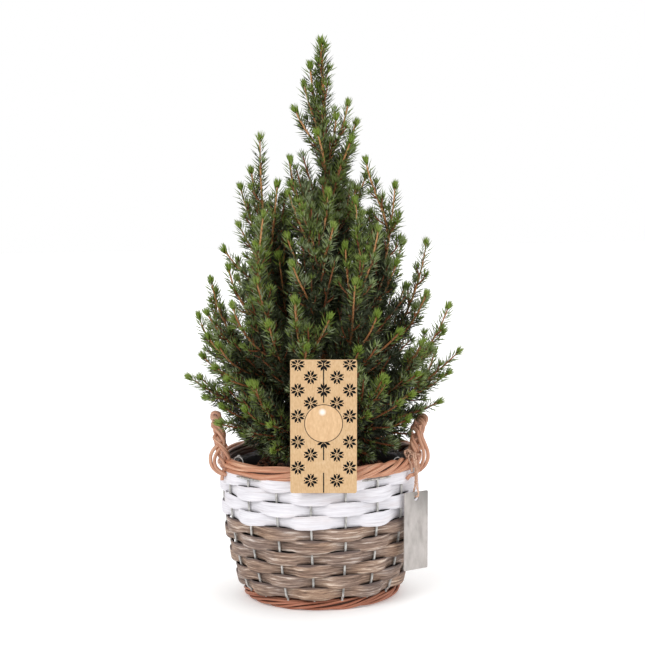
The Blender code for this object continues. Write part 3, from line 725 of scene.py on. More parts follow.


# a dark willow finish for the core: painted shade
shadeCoreWillow = peeledWillow("core", 0.2, 0.7)
twistedRing("rimRods", rimRods, rim["radius"], (rim["low"] + rim["high"]) / 2,
            peeledWillow("rim", 0.25, 0.46, (0.0985, 0.0955)), "willow_rim")
twistedRing("footRods", footRods, foot["radius"], foot["height"] / 2,
            peeledWillow("foot", 0.35, 0.50), "willow_foot")
print("rim and foot wound")

handles = {
    "left": {
        "side": -1, "top": (0.1043, 0.1927), "lean": 0.45, "seed": 5,
        "stub": ((-0.0955, -0.0400, 0.1400), (-0.0985, -0.0415, 0.1352), (-0.0992, -0.0420, 0.1310),
                 (-0.0996, -0.0425, 0.1275)),
    },
    "right": {
        "side": 1, "top": (0.1049, 0.1854), "lean": 1.5, "seed": 9,
        "stub": ((0.0990, -0.0460, 0.1450), (0.1000, -0.0500, 0.1375), (0.0965, -0.0545, 0.1325),
                 (0.0915, -0.0580, 0.1320), (0.0875, -0.0600, 0.1285)),
    },
    "legAngle": math.radians(23.2),
    "legCircle": 0.1040,
    "radius": 0.0058,
    "squareness": 0.72,
    "phases": (0.0, 0.14, 0.5, 0.65),
    "rodRadius": 0.00172,
    "wide": 0.0043,            # how far the rods swing out of the arch's plane, and within it
    "deep": 0.0033,
    "turns": 3.7,
    "backOut": 0.0060,         # how much further out the back leg stands
    "loopRadius": 0.00185,
    "stubRadius": 0.0019,
    # rods that bow out at each foot: distance out, across and height
    "loops": {
        "left": (
            ((0.0993, 0.0400, 0.1650), (0.1054, 0.0420, 0.1615), (0.1094, 0.0435, 0.1560),
             (0.1106, 0.0445, 0.1500), (0.1092, 0.0445, 0.1430), (0.1049, 0.0440, 0.1375),
             (0.0993, 0.0430, 0.1340), (0.0960, 0.0400, 0.1325)),
            ((0.0965, 0.0405, 0.1640), (0.1018, 0.0430, 0.1590), (0.1054, 0.0455, 0.1530),
             (0.1064, 0.0465, 0.1470), (0.1043, 0.0465, 0.1410), (0.0993, 0.0455, 0.1365),
             (0.0950, 0.0440, 0.1335)),
        ),
        "right": (
            ((0.1029, 0.0395, 0.1800), (0.1039, 0.0410, 0.1700), (0.1069, 0.0430, 0.1620),
             (0.1097, 0.0440, 0.1540), (0.1101, 0.0445, 0.1470), (0.1074, 0.0440, 0.1400),
             (0.1029, 0.0430, 0.1350), (0.0996, 0.0410, 0.1330)),
            ((0.1004, 0.0400, 0.1740), (0.1024, 0.0425, 0.1650), (0.1051, 0.0450, 0.1570),
             (0.1059, 0.0460, 0.1490), (0.1039, 0.0460, 0.1410), (0.1004, 0.0450, 0.1365),
             (0.0970, 0.0440, 0.1335)),
        ),
    },
}


def handlePath(side, top, lean, count):
    low = rim["high"] + 0.0003
    legOut = handles["legCircle"] * math.cos(handles["legAngle"])
    legAcross = handles["legCircle"] * math.sin(handles["legAngle"])
    rise = top[1] - handles["radius"] - low
    path = []
    for i in range(count):
        turn = math.pi * i / (count - 1)
        lift = math.sin(turn) ** handles["squareness"] if 0 < i < count - 1 else 0.0
        out = legOut + (top[0] - legOut) * lift ** (lean / handles["squareness"])
        out += handles["backOut"] * (1 - math.cos(turn)) / 2
        path.append(Vector((side * out, -legAcross * math.cos(turn), low + rise * lift)))
    return path


def makeHandle(name, node):
    look = handles[name]
    shape = newShape()
    spine = handlePath(look["side"], look["top"], look["lean"], 90)
    down = Vector((0, 0, -1))
    ends = [spine[0] + down * d for d in (0.0085, 0.0045)]
    back = [spine[-1] + down * d for d in (0.0045, 0.0085)]
    spine = np.array([tuple(p) for p in smoothRoute([*ends, *spine[::3], spine[-1], *back], 120)])
    tangents = unit(np.gradient(spine, axis=0))
    outward = np.array((look["side"], 0.0, 0.0))
    across = unit(outward - tangents * (tangents @ outward)[:, None])
    upward = np.cross(tangents, across)
    share = np.linspace(0, 1, len(spine))
    legs = 1 - np.clip(np.minimum(share, 1 - share) / 0.12, 0, 1)
    for j, phase in enumerate(handles["phases"]):
        seed = look["seed"] * 10 + j
        turned = tau * (phase + handles["turns"] * share) + 0.5 * waver(share * 5, seed, (1, 2))
        swing = (1 + 0.16 * waver(share * 6, seed + 7, (1, 2, 3))) * (1 - 0.30 * legs)
        path = spine + (swing * handles["wide"] * np.sin(turned))[:, None] * across
        path = path + (swing * handles["deep"] * np.cos(turned))[:, None] * upward
        thick = handles["rodRadius"] * (1.12 - 0.24 * (share if j % 2 else 1 - share))
        addTube(shape, path, thick, 12, lumps=0.012, seed=seed)
    # loose rods at each foot bow out over the rim and tuck in under it
    for end, sign in ((0, -1), (1, 1)):
        for n, loop in enumerate(handles["loops"][name]):
            shift = handles["backOut"] * (1 + sign) / 2
            bowed = [
                Vector((look["side"] * (out + shift * max(0.0, 0.9 - 0.3 * i)), sign * aside, height))
                for i, (out, aside, height) in enumerate(loop)
            ]
            thick = handles["loopRadius"] - 0.0001 * n
            seed = look["seed"] * 10 + 7 + end + 3 * n
            addTube(shape, smoothRoute(bowed, 44), thick, 12, lumps=0.012, seed=seed)
    stub = smoothRoute([Vector(point) for point in look["stub"]], 24)
    addTube(shape, stub, handles["stubRadius"], 12, lumps=0.012, seed=look["seed"] * 10 + 9)
    makePiece(name + "HandleRods", shape, [handleFinish], [node])


handleFinish = peeledWillow("handle", 0.12, 0.44)
makeHandle("left", "handle_left")
makeHandle("right", "handle_right")
print("handles plaited")

pot = {
    "radius": 0.0918, "band": 0.0080, "bandStep": 0.0013, "footRadius": 0.0660, "wall": 0.0012,
    "low": 0.0072, "high": 0.1340,
}
soil = {
    "high": 0.1237, "low": 0.0087, "seed": 77,
    # crumbs and chips: how many lie level, heaped towards the stem and drifted
    "chips": 900, "heaped": 700, "drifted": 620,
    "heap": 0.0140,
    # loose drifts of bark: middle, spread and depth
    "drifts": ((-0.056, 0.036, 0.015, 0.0165), (-0.036, -0.028, 0.014, 0.0150),
               (0.050, 0.030, 0.015, 0.0120)),
    "chipSizes": (0.0012, 0.0016, 0.0022, 0.0032, 0.0044),
    "chipRings": ((-0.35, 0.72), (0.0, 1.0), (0.35, 0.66)),   # height and width as shares of its size
    "chipSides": 6,
}
film = {
    "low": 0.1300, "rise": 0.0050, "edge": 0.0036, "reach": 0.0926, "inward": 0.0010,
    "fold": 0.00055, "stray": 0.0004, "thickness": 0.00012, "alpha": 0.12,
    "sleeveLow": 0.0125, "sleeveHigh": 0.1290, "sleeveGap": 0.0050, "sleeveThickness": 0.0004,
}


def potPlastic():
    shades = ((0.3, (22, 22, 25)), (0.6, (38, 38, 42)), (0.9, (60, 58, 56)))
    return mottled("potPlastic", (34, 34, 38), 0.42, objectPlace, (260, (1, 1, 0.5), 4), shades,
                   (0.15, 0.0004), rougher=(0.34, 0.56))


def latheRings(profile, steps):
    angle = tau * np.arange(steps) / steps
    return np.array([ringPoints(angle, reach, height) for reach, height in profile])


def makePot():
    under = pot["high"] - pot["band"]
    wallTop = pot["radius"] - pot["bandStep"]
    inner = wallTop - pot["wall"]
    profile = [(0.004, pot["low"]), (pot["footRadius"] - 0.003, pot["low"]),
               (pot["footRadius"], pot["low"] + 0.003)]
    for share in np.linspace(0.1, 0.96, 8):
        profile.append((pot["footRadius"] + (wallTop - pot["footRadius"]) * share,
                        pot["low"] + (under - pot["low"]) * share))
    profile += [
        (wallTop, under), (pot["radius"] - 0.0002, under), (pot["radius"], under + 0.0003),
        (pot["radius"], pot["high"] - 0.0009), (pot["radius"] - 0.0004, pot["high"] - 0.0002),
        (pot["radius"] - 0.0010, pot["high"]), (inner + 0.0004, pot["high"] - 0.0002),
        (inner, pot["high"] - 0.0010), (inner, under),
        (pot["footRadius"] - pot["wall"], pot["low"] + pot["wall"]),
        (0.004, pot["low"] + pot["wall"]),
    ]
    rings = latheRings(profile, 96)
    shape = newShape()
    addRings(shape, rings, rings.copy(), closed=True)
    makePiece("growersPot", shape, [potPlastic()], ["nursery_pot"], sharpAngle=35)


def peat():
    shades = ((0.30, (24, 16, 12)), (0.50, (56, 38, 28)), (0.75, (108, 78, 54)))
    crumbs = (330, (1, 1, 1), 6, 0.7)
    return mottled("peat", (58, 42, 32), 0.95, objectPlace, crumbs, shades, (1.0, 0.002))


def chipBark():
    shades = ((0.30, (60, 36, 25)), (0.55, (136, 84, 58)), (0.80, (188, 138, 102)))
    fibres = (520, (1, 1, 1), 4, 0.7)
    return mottled("chipBark", (96, 62, 42), 0.85, objectPlace, fibres, shades, (0.8, 0.001))


def makeSoil():
    draw = random.Random(soil["seed"])
    inner = pot["radius"] - pot["bandStep"] - pot["wall"] - 0.0006
    shape = newShape()
    profile = [(pot["footRadius"] - 0.0022, soil["low"] + 0.0004), (inner - 0.0008, soil["high"] - 0.004)]
    for share in np.linspace(1.0, 0.04, 26):
        profile.append((inner * share, soil["high"] - 0.0012))
    rings = latheRings(profile, 120)
    for n in range(2, len(profile)):
        flat = rings[n]
        lift = 0.0009 * np.sin(flat[:, 0] * 330 + 2 * np.sin(flat[:, 1] * 210)) * np.sin(flat[:, 1] * 290)
        lift += 0.0007 * np.sin(flat[:, 0] * 910 + flat[:, 1] * 640) * np.sin(flat[:, 1] * 870)
        rings[n, :, 2] += lift
    addRings(shape, rings, rings.copy())
    # crumbs and bark chips lie on it, each a rough flattened lump, heaped a little towards the stem
    for n in range(soil["chips"] + soil["heaped"] + soil["drifted"]):
        heaped = n >= soil["chips"]
        drifted = n >= soil["chips"] + soil["heaped"]
        reach = inner * math.sqrt(draw.uniform(0.012, 0.55 if heaped else 0.97))
        turn = draw.uniform(0, tau)
        size = draw.choice(soil["chipSizes"]) * draw.uniform(0.8, 1.2)
        lift = soil["heap"] * (1 - reach / (inner * 0.75)) * draw.random() if heaped else 0.0
        low = soil["high"] - 0.0008 + size * 0.16
        place = bearing(turn, reach, low + lift)
        if drifted:
            x, y, spread, depth = soil["drifts"][n % len(soil["drifts"])]
            aside, ahead = draw.gauss(0, 0.55), draw.gauss(0, 0.55)
            lift = depth * max(0.0, 1 - math.hypot(aside, ahead)) * draw.uniform(0.5, 1.0)
            place = Vector((x + aside * spread, y + ahead * spread, low + lift))
            if place.xy.length > inner - 0.003:
                continue
        spin = Matrix.Rotation(draw.uniform(0, tau), 3, "Z") @ Matrix.Rotation(draw.gauss(0, 0.28), 3, "X")
        chip = np.zeros((len(soil["chipRings"]), soil["chipSides"], 3))
        for i, (height, wide) in enumerate(soil["chipRings"]):
            for j in range(soil["chipSides"]):
                a = tau * j / soil["chipSides"]
                out = size * wide * draw.uniform(0.72, 1.15)
                local = Vector((math.cos(a) * out, math.sin(a) * 0.55 * out, height * size * 0.6))
                chip[i, j] = place + spin @ local
        addRings(shape, chip, chip.copy(), finish=draw.choice((0, 1, 1)))
    makePiece("pottingBark", shape, [peat(), chipBark()], ["soil"], sharpAngle=30)


def makeFilm():
    # a crinkled edge of clear film stands up between the pot and the rim
    shape = newShape()
    count, layers = 420, 5
    angle = tau * np.arange(count) / count
    rings = np.zeros((count, 2 * layers, 3))
    for n in range(layers):
        t = n / (layers - 1)
        height = film["low"] + t * (film["rise"] + film["edge"] * waver(angle, 300, (5, 9, 14, 23)))
        folds = film["fold"] * np.sin(angle * 61 + 2.2 * t + 1.5 * np.sin(angle * 17))
        reach = film["reach"] + folds + film["stray"] * waver(angle, 301, (13, 29)) - film["inward"] * t * t
        for slot, within in ((n, 0.0), (2 * layers - 1 - n, film["thickness"])):
            rings[:, slot] = ringPoints(angle, reach - within, height)
    addRings(shape, rings[:, ::-1], rings[:, ::-1].copy(), closed=True)
    finish = newFinish("clearFilm", srgb(235, 240, 245), 0.18)
    setSockets(finish, {"Alpha": film["alpha"], "Specular IOR Level": 0.4})
    bumpFrom(finish, noiseOn(finish, objectPlace(finish), 380, (1, 1, 0.6), 3), 0.8, 0.001)
    makePiece("filmLiner", shape, [finish], sharpAngle=80)
    # below it the same sleeve is dark and lines the wall down to the foot: a dark sheet that is painted
    # shade, seen through the gaps in the weave
    heights = np.linspace(film["sleeveLow"], film["sleeveHigh"], 24)
    outer = [(float(wallRadius(z)) - film["sleeveGap"], float(z)) for z in heights]
    inner = [(reach - film["sleeveThickness"], z) for reach, z in outer[::-1]]
    sleeve = latheRings(outer + inner, 96)
    sleeve = np.concatenate((sleeve, sleeve[:1]))
    shape = newShape()
    addRings(shape, sleeve[:, ::-1], sleeve[:, ::-1].copy(), caps=(False, False))
    # its dark colour is painted shade
    dark = mottled("sleeveShade", (30, 28, 28), 0.6, objectPlace, (200, (1, 1, 0.5), 3),
                   ((0.3, (22, 20, 20)), (0.7, (40, 36, 34))))
    makePiece("shadeSleeve", shape, [dark], sharpAngle=80)


makePot()
makeSoil()
makeFilm()
print("pot and soil filled")


def plywood():
    shades = ((0.3, (166, 128, 84)), (0.6, (206, 172, 126)), (0.85, (224, 196, 154)))
    return mottled("plywood", (206, 172, 126), 0.7, objectPlace, (90, (1, 9, 3), 5), shades, (0.3, 0.0004))


def kraft():
    # warm board with fine fibres and darker flecks
    finish = newFinish("kraftBoard", srgb(214, 178, 132), 0.82)
    place = objectPlace(finish)
    fibres = noiseOn(finish, place, 700, (1, 1, 0.35), 5, 0.6)
    clouds = noiseOn(finish, place, 60, (1, 1, 1), 3)
    flecks = noiseOn(finish, place, 1500, (1, 1, 0.5), 2)
    base = ramp(finish, fibres, [
        (0.25, srgb(188, 150, 108)), (0.50, srgb(205, 171, 129)), (0.78, srgb(219, 190, 153))])
    toned = layOver(finish, base, srgb(199, 161, 116), clouds, 0.35, 0.70, 0.35)
    wire(finish, layOver(finish, toned, srgb(160, 120, 78), flecks, 0.66, 0.78, 0.4), "Base Color")
    bumpFrom(finish, fibres, 0.25, 0.0002)
    return finish


def zincSheet():
    # rolled zinc: fine lengthwise brushing under soft grey patches, with painted shade darker towards one top
    # corner
    finish = newFinish("zincSheet", srgb(190, 184, 181), 0.46, 0.35)
    place = objectPlace(finish)
    alongTag = {"Vector": place, "Rotation": (0, 0, -tag["turn"])}
    turned = addNode(finish, "ShaderNodeMapping", alongTag).outputs[0]
    brushed = noiseOn(finish, turned, 1.0, (900, 900, 45), 3)
    patches = noiseOn(finish, turned, 1.0, (150, 150, 70), 4)
    base = ramp(finish, patches, [
        (0.30, srgb(158, 152, 148)), (0.52, srgb(182, 176, 172)), (0.80, srgb(200, 194, 191))])
    brushedOver = layOver(finish, base, srgb(168, 162, 158), brushed, 0.35, 0.65, 0.30)
    # painted shade towards one top corner
    across, upward = tagAxes()[:2]
    corner = tag["hole"] + across * 0.016 + upward * 0.010
    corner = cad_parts["zinc_tag"].matrix_world.inverted() @ corner
    away = distanceTo(finish, place, corner)
    wire(finish, layOver(finish, brushedOver, srgb(122, 119, 116), away, 0.034, 0.006, 0.85), "Base Color")
    wire(finish, mapRange(finish, brushed, 0.3, 0.7, 0.54, 0.40), "Roughness")
    bumpFrom(finish, brushed, 0.15, 0.0001)
    return finish


dressed = {"base_board": plywood, "card": kraft, "card_stake": plywood, "zinc_tag": zincSheet}
for nodeName, makeFinish in dressed.items():
    finish = makeFinish()
    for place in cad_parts[nodeName].material_slots:
        place.material = finish

# printed pattern: rows of eight-petalled stars round a plain medallion, each mark a thin film of ink
cardPrint = {
    "centre": Vector((0.0049, -0.1125, 0.1927)),
    "lean": math.radians(1.1),
    "width": 0.0647,
    "height": 0.1310,
    "thickness": 0.0010,
    "ink": 0.00006,            # its thickness
    "star": 0.0068,            # from the middle to the points
    "petal": ((0.17, 0.0), (0.45, -0.150), (0.68, -0.200), (1.07, 0.0), (0.68, 0.200), (0.45, 0.150)),
    "petalTurn": math.radians(23.8),
    "columns": (-0.0250, 0.0002, 0.0254),
    "between": (-0.0125, 0.0129),
    "pitch": 0.01267,
    "rows": 10,
    "firstRow": 0.0610,        # above the card's middle
    "empty": (8, 1),           # the row and column that hold no star
    "overlap": 0.0045,         # stars may start this far within the medallion
    "line": 0.00060,           # half the middle line's width, and where it runs
    "lineRuns": ((0.0235, 0.0651), (-0.0330, -0.0160), (-0.0651, -0.0453)),
    "medallion": 0.0188,       # radius
    "medallionHeight": 0.0031,
    "medallionLine": 0.0007,
    "disc": 0.0181,            # the varnished disc's radius, and the place that shines
    "shine": (0.0040, -0.1131, 0.2070),
    "dotReach": 0.0060,
    "dot": 0.00072,
    "heartDot": 0.00060,
    "sunk": 0.00001,           # how far a mark's lower edge stands within the card
    "leastArea": 4e-7,         # a petal cut smaller than this is left out
    "edge": 0.0004,
}


def onCard(u, depth, v):
    return tuple(cardPrint["centre"] + Matrix.Rotation(cardPrint["lean"], 3, "Y") @ Vector((u, depth, v)))


def circle(reach, count):
    return [(reach * math.cos(tau * i / count), reach * math.sin(tau * i / count)) for i in range(count)]


def addFlat(shape, outline, place, top):
    # a flat printed mark: its outline stands a hair in front of the card
    front = -cardPrint["thickness"] / 2
    depths = (front + cardPrint["sunk"], front - top)
    rings = np.array([[onCard(place[0] + u, depth, place[1] + v) for u, v in outline] for depth in depths])
    addRings(shape, rings, rings.copy(), caps=(False, True))


def addBand(shape, middle, outer, inner, top, steps):
    # a printed line round a circle
    front = -cardPrint["thickness"] / 2
    low = front + cardPrint["sunk"]
    section = ((inner, low), (inner, front - top), (outer, front - top), (outer, low))
    rings = np.array([
        [onCard(u, depth, middle + v) for u, v in circle(reach, steps)] for reach, depth in section])
    addRings(shape, rings, rings.copy(), caps=(False, False))


def addStar(shape, x, z):
    # eight petals in pairs about each quarter line, a dot beyond each quarter and one at the heart
    look = cardPrint
    limitX, limitZ = look["width"] / 2 - look["edge"], look["height"] / 2 - look["edge"]
    for k in range(8):
        a = tau * (k // 2) / 4 + (-1 if k % 2 else 1) * look["petalTurn"]
        clipped = []
        for along, aside in look["petal"]:
            u = x + look["star"] * (along * math.cos(a) - aside * math.sin(a))
            v = z + look["star"] * (along * math.sin(a) + aside * math.cos(a))
            away = math.hypot(u, v - look["medallionHeight"])
            if away < look["medallion"]:
                u *= look["medallion"] / away
                v = look["medallionHeight"] + (v - look["medallionHeight"]) * look["medallion"] / away
            clipped.append((max(-limitX, min(limitX, u)), min(limitZ, v)))
        area = sum(p[0] * q[1] - q[0] * p[1] for p, q in zip(clipped, clipped[1:] + clipped[:1])) / 2
        if area > look["leastArea"]:
            addFlat(shape, clipped, (0, 0), look["ink"])
    dots = [(0.0, 0.0, look["heartDot"])]
    dots += [(u, v, look["dot"]) for u, v in circle(look["dotReach"], 4)]
    for u, v, size in dots:
        away = math.hypot(x + u, z + v - look["medallionHeight"])
        if abs(x + u) + size < limitX and z + v + size < limitZ and away > look["medallion"] + 0.0006:
            addFlat(shape, circle(size, 8), (x + u, z + v), look["ink"])


def makeCardPrint():
    look = cardPrint
    shape = newShape()
    for row in range(look["rows"]):
        z = look["firstRow"] - look["pitch"] * row
        columns = look["columns"] if row % 2 == 0 else look["between"]
        for column, x in enumerate(columns):
            away = math.hypot(x, z - look["medallionHeight"])
            if away > look["medallion"] - look["overlap"] and (row, column) != look["empty"]:
                addStar(shape, x, z)
    lines = newShape()
    inside = look["medallion"] - look["medallionLine"]
    addBand(lines, look["medallionHeight"], look["medallion"], inside, look["ink"], 72)
    for low, high in look["lineRuns"]:
        run = [(-look["line"], low), (look["line"], low), (look["line"], high), (-look["line"], high)]
        addFlat(lines, run, (0, 0), look["ink"] * 0.7)
    for name, mark, tone in (("cardStars", shape, 1.0), ("cardLines", lines, 3.2)):
        ink = newFinish(name + "Ink", srgb(20, 18, 17), 0.62)
        setSockets(ink, {"Specular IOR Level": 0.12})
        worn = noiseOn(ink, objectPlace(ink), 1400, (1, 1, 1), 3)
        shades = ((0.35, (8, 8, 8)), (0.62, (14, 12, 11)), (0.85, (30, 24, 19)))
        stops = [(at, srgb(*(channel * tone for channel in shade))) for at, shade in shades]
        wire(ink, ramp(ink, worn, stops), "Base Color")
        makePiece(name, mark, [ink], smooth=False)
    # a varnished disc fills the medallion, pale where the light catches it
    disc = newShape()
    addFlat(disc, circle(look["disc"], 64), (0, look["medallionHeight"]), look["ink"] * 0.5)
    pale = newFinish("medallionVarnish", srgb(240, 210, 158), 0.35)
    fibres = noiseOn(pale, objectPlace(pale), 500, (1, 1, 0.4), 4)
    ground = ramp(pale, fibres, [(0.3, srgb(204, 164, 120)), (0.7, srgb(222, 186, 142))])
    spot = distanceTo(pale, objectPlace(pale), look["shine"])
    wire(pale, layOver(pale, ground, srgb(255, 252, 244), spot, 0.0042, 0.0012, 0.80), "Base Color")
    makePiece("cardMedallion", disc, [pale], smooth=False)
    print("card printed")


makeCardPrint()

# tree: the CAD frame's own trunk and limbs, which the shoots grow on from
trunk = {
    "low": 0.1240, "tip": Vector((0.0097, 0.0, 0.5720)), "bow": 0.0071, "sway": 0.0022,
    "radius": 0.0068, "tipRadius": 0.0012, "flare": 0.0042, "flareHeight": 0.0100,
}
limbs = {
    # bearing from +X in degrees, reach, tip height, root height, how far out and up its turn is
    "left_tall": (176, 0.0545, 0.4790, 0.215, 1.10, 0.30),
    "left_mid": (187, 0.1090, 0.3350, 0.186, 0.88, 0.36),
    "left_low": (168, 0.1280, 0.2940, 0.166, 0.84, 0.38),
    "left_skirt": (186, 0.1373, 0.2330, 0.152, 0.56, 0.45),
    "front_left": (226, 0.0860, 0.3720, 0.192, 0.90, 0.28),
    "front_centre": (268, 0.0520, 0.3820, 0.236, 0.88, 0.30),
    "front_low": (257, 0.0890, 0.3170, 0.172, 0.84, 0.36),
    "front_right": (304, 0.0780, 0.3330, 0.200, 0.86, 0.32),
    "right_tall": (357, 0.0832, 0.4275, 0.206, 0.86, 0.34),
    "right_mid": (8, 0.1170, 0.3670, 0.192, 0.86, 0.34),
    "right_low": (352, 0.1380, 0.3040, 0.170, 0.80, 0.36),
    "right_skirt": (1, 0.1503, 0.2530, 0.154, 0.62, 0.42),
    "front_skirt_left": (234, 0.1160, 0.2370, 0.149, 0.66, 0.34),
    "front_skirt_right": (307, 0.1150, 0.2360, 0.160, 0.66, 0.34),
    "back_tall": (88, 0.0740, 0.4200, 0.224, 0.90, 0.30),
    "back_left": (131, 0.1180, 0.3220, 0.178, 0.85, 0.34),
    "back_right": (47, 0.1210, 0.3120, 0.184, 0.85, 0.34),
    "back_skirt": (91, 0.1340, 0.2450, 0.150, 0.66, 0.36),
}
# the tips of the leading shoots, as x, y, z in metres
leadingTips = (
    (-0.0019, -0.004, 0.5503), (-0.0088, 0.006, 0.5318), (0.0371, 0.000, 0.5117),
    (-0.0205, -0.010, 0.5058), (0.0458, 0.008, 0.4924), (0.0029, -0.022, 0.4821),
    (0.0395, -0.018, 0.4743), (-0.0236, -0.026, 0.4557), (0.0522, -0.012, 0.4533),
    (-0.0653, 0.006, 0.4458), (-0.0362, -0.030, 0.4320), (-0.0770, 0.010, 0.4287),
    (0.0141, -0.042, 0.4228), (-0.0273, -0.040, 0.4226), (0.0406, -0.040, 0.4142),
    (-0.0800, -0.006, 0.3899), (-0.0966, 0.008, 0.3641), (0.0837, -0.030, 0.3487),
    (-0.0246, -0.080, 0.3540), (-0.0600, -0.070, 0.3370), (0.1142, -0.022, 0.3171),
    (-0.0214, -0.094, 0.3195), (-0.1145, -0.020, 0.3011), (0.0391, -0.080, 0.3351),
    (-0.0092, -0.098, 0.2728), (0.0419, -0.096, 0.2679), (-0.1230, 0.012, 0.2524),
    (0.1398, 0.010, 0.2297), (0.0659, -0.094, 0.2391), (-0.0622, -0.096, 0.2361),
    (-0.1232, 0.016, 0.2061), (0.1313, 0.012, 0.1979), (0.0506, -0.090, 0.1999),
    (-0.0496, -0.090, 0.1919), (-0.0463, -0.090, 0.1660), (0.1080, -0.048, 0.2680),
    (-0.1000, -0.052, 0.2700), (0.0980, -0.052, 0.2150), (-0.1010, -0.046, 0.2060),
    (0.0640, -0.058, 0.3860), (-0.0500, -0.056, 0.4020), (0.0190, -0.074, 0.3900),
    (0.0620, -0.072, 0.3020), (-0.0480, -0.086, 0.2950), (0.0150, -0.096, 0.3020),
    (-0.0840, -0.066, 0.3130), (0.0860, -0.066, 0.2820), (0.0060, 0.002, 0.5300),
    (0.0240, -0.010, 0.4980), (-0.0010, 0.020, 0.5100), (-0.1080, -0.030, 0.2450),
    (-0.1150, 0.000, 0.2750), (-0.0950, -0.050, 0.2350), (0.1180, -0.020, 0.2620),
    (0.1050, -0.040, 0.2350), (-0.0750, -0.075, 0.2080), (0.0840, -0.072, 0.2100),
    (-0.1250, -0.012, 0.2330), (-0.0880, -0.045, 0.3500), (-0.1060, 0.030, 0.3200),
    (-0.1040, -0.030, 0.1860), (0.0940, -0.046, 0.1900), (-0.0330, -0.015, 0.3950),
    (-0.0290, -0.052, 0.3800), (-0.0380, -0.034, 0.3600), (-0.0240, -0.050, 0.3400),
    (0.0480, -0.030, 0.4000), (0.0300, -0.060, 0.3700), (-0.1046, -0.056, 0.1893),
)
# shoots on either side of the leader that end without a bright tuft
quietTips = (
    (-0.0120, -0.020, 0.4600), (-0.0190, -0.024, 0.4480), (0.0380, -0.012, 0.4631),
    (0.0306, -0.020, 0.4511), (0.0400, 0.006, 0.4814),
)
crown = {
    "seed": 2024,
    "backShoots": 30,
    "innerShoots": 230,
    "skirtShoots": 96,
    "middle": 0.006,           # the crown's middle line stands this far towards +X
    "depthShare": 0.88,        # its depth as a share of its width
    "outline": ((0.140, 0.078), (0.155, 0.094), (0.170, 0.106), (0.20, 0.124), (0.25, 0.134),
                (0.30, 0.128), (0.335, 0.108),
                (0.37, 0.098), (0.43, 0.078), (0.46, 0.060), (0.49, 0.046), (0.52, 0.028), (0.55, 0.012),
                (0.575, 0.004)),
    "stemShort": 0.0060,       # a stem ends this far before the tip that its needles reach
    "leaderShort": 0.0040,
    # side shoots, level 2, and their twigs, level 3: how far back from the tip they start
    # and over how much of the parent they grow
    "levels": {
        2: {"spacing": 0.0098, "from": (0.024, 0.034), "over": 0.90, "longest": 0.032, "thick": 0.00080},
        3: {"spacing": 0.0100, "from": (0.011, 0.015), "over": 0.80, "longest": 0.018, "thick": 0.00065},
    },
    "sideShare": 0.37,         # a side shoot's length, as a share of the way to its parent's tip
    "sideShortest": 0.010,
    "sideAngle": math.radians(37),
    "leader": {"from": 0.012, "spacing": 0.0096, "sideShare": 0.54, "thinFrom": 0.078, "thinned": 0.6},
    "sparseAbove": 0.450,      # shoots that end higher than this have fewer side shoots
    "sparser": 1.55,
    "lowest": 0.140,
    "goldenTurn": math.radians(137.5),
    "goldenShare": 0.381966,
    "needlePitch": 0.00074,
    "needleLength": 0.0113,
    "needleWidth": 0.00142,
    "tuftNeedles": 26,
    "sideTuft": 12,
    # how wide needles stand off their shoot, in degrees, at distances from its tip
    "openingAt": (0.0, 0.003, 0.010, 0.030, 0.09),
    "openingLeading": (10, 24, 54, 64, 68),
    "openingSide": (24, 40, 56, 62, 66),
    "openingLeader": (14, 30, 50, 58, 64),
}
draw = np.random.default_rng(crown["seed"])


def trunkShare(height):
    return (height - trunk["low"]) / (trunk["tip"].z - trunk["low"])


def trunkPoint(height):
    share = trunkShare(height)
    x = trunk["tip"].x * share + trunk["bow"] * math.sin(math.pi * share)
    y = trunk["tip"].y * share - trunk["sway"] * math.sin(2 * math.pi * share)
    return np.array((x, y, height))


def trunkRadius(height):
    flare = trunk["flare"] * math.exp(-(height - trunk["low"]) / trunk["flareHeight"])
    return trunk["radius"] + (trunk["tipRadius"] - trunk["radius"]) * trunkShare(height) ** 0.8 + flare


def limbPoint(limb, share):
    degrees, reach, tipHeight, rootHeight, outShare, upShare = limb
    direction = np.array((math.cos(math.radians(degrees)), math.sin(math.radians(degrees)), 0.0))
    start = trunkPoint(rootHeight)
    tip = direction * reach + (0, 0, tipHeight)
    turn = direction * reach * outShare + (0, 0, rootHeight + (tipHeight - rootHeight) * upShare)
    return start * (1 - share) ** 2 + turn * 2 * share * (1 - share) + tip * share**2


def pathLengths(path):
    return np.concatenate(([0.0], np.cumsum(np.linalg.norm(np.diff(path, axis=0), axis=1))))


def cutShort(path, short):
    # the same run, ended this far before its tip
    lengths = pathLengths(path)
    at = np.linspace(0, lengths[-1] - short, len(path))
    return np.stack([np.interp(at, lengths, path[:, i]) for i in range(3)], axis=1)


def bezier(a, b, c, d, count):
    t = np.linspace(0, 1, count)[:, None]
    return a * (1 - t) ** 3 + 3 * b * t * (1 - t) ** 2 + 3 * c * t * t * (1 - t) + d * t**3


def outlineReach(height):
    heights, reaches = zip(*crown["outline"])
    return np.interp(height, heights, reaches)


def outwardShare(points):
    # 0 on the trunk's line and 1 at the crown's outline
    points = np.atleast_2d(points)
    reach = np.hypot(points[:, 0] - crown["middle"], points[:, 1] / crown["depthShare"])
    return reach / np.maximum(outlineReach(points[:, 2]), 0.008)


def bestFork(tip, places, names, ahead, wanted):
    # the place on a limb that a shoot to this tip leaves with little bend, about the wanted length away
    away = tip - places
    length = np.linalg.norm(away, axis=1)
    turn = np.arccos(np.clip((away * ahead).sum(axis=1) / length, -1, 1))
    cost = 0.5 * np.abs(length - wanted) + 0.075 * turn + 0.05 * np.maximum(0.0, turn - 0.6)
    cost = cost * draw.uniform(0.94, 1.06, len(cost)) + np.where(length < 0.030, 1.0, 0.0)
    best = int(np.argmin(cost))
    return names[best], places[best], ahead[best]


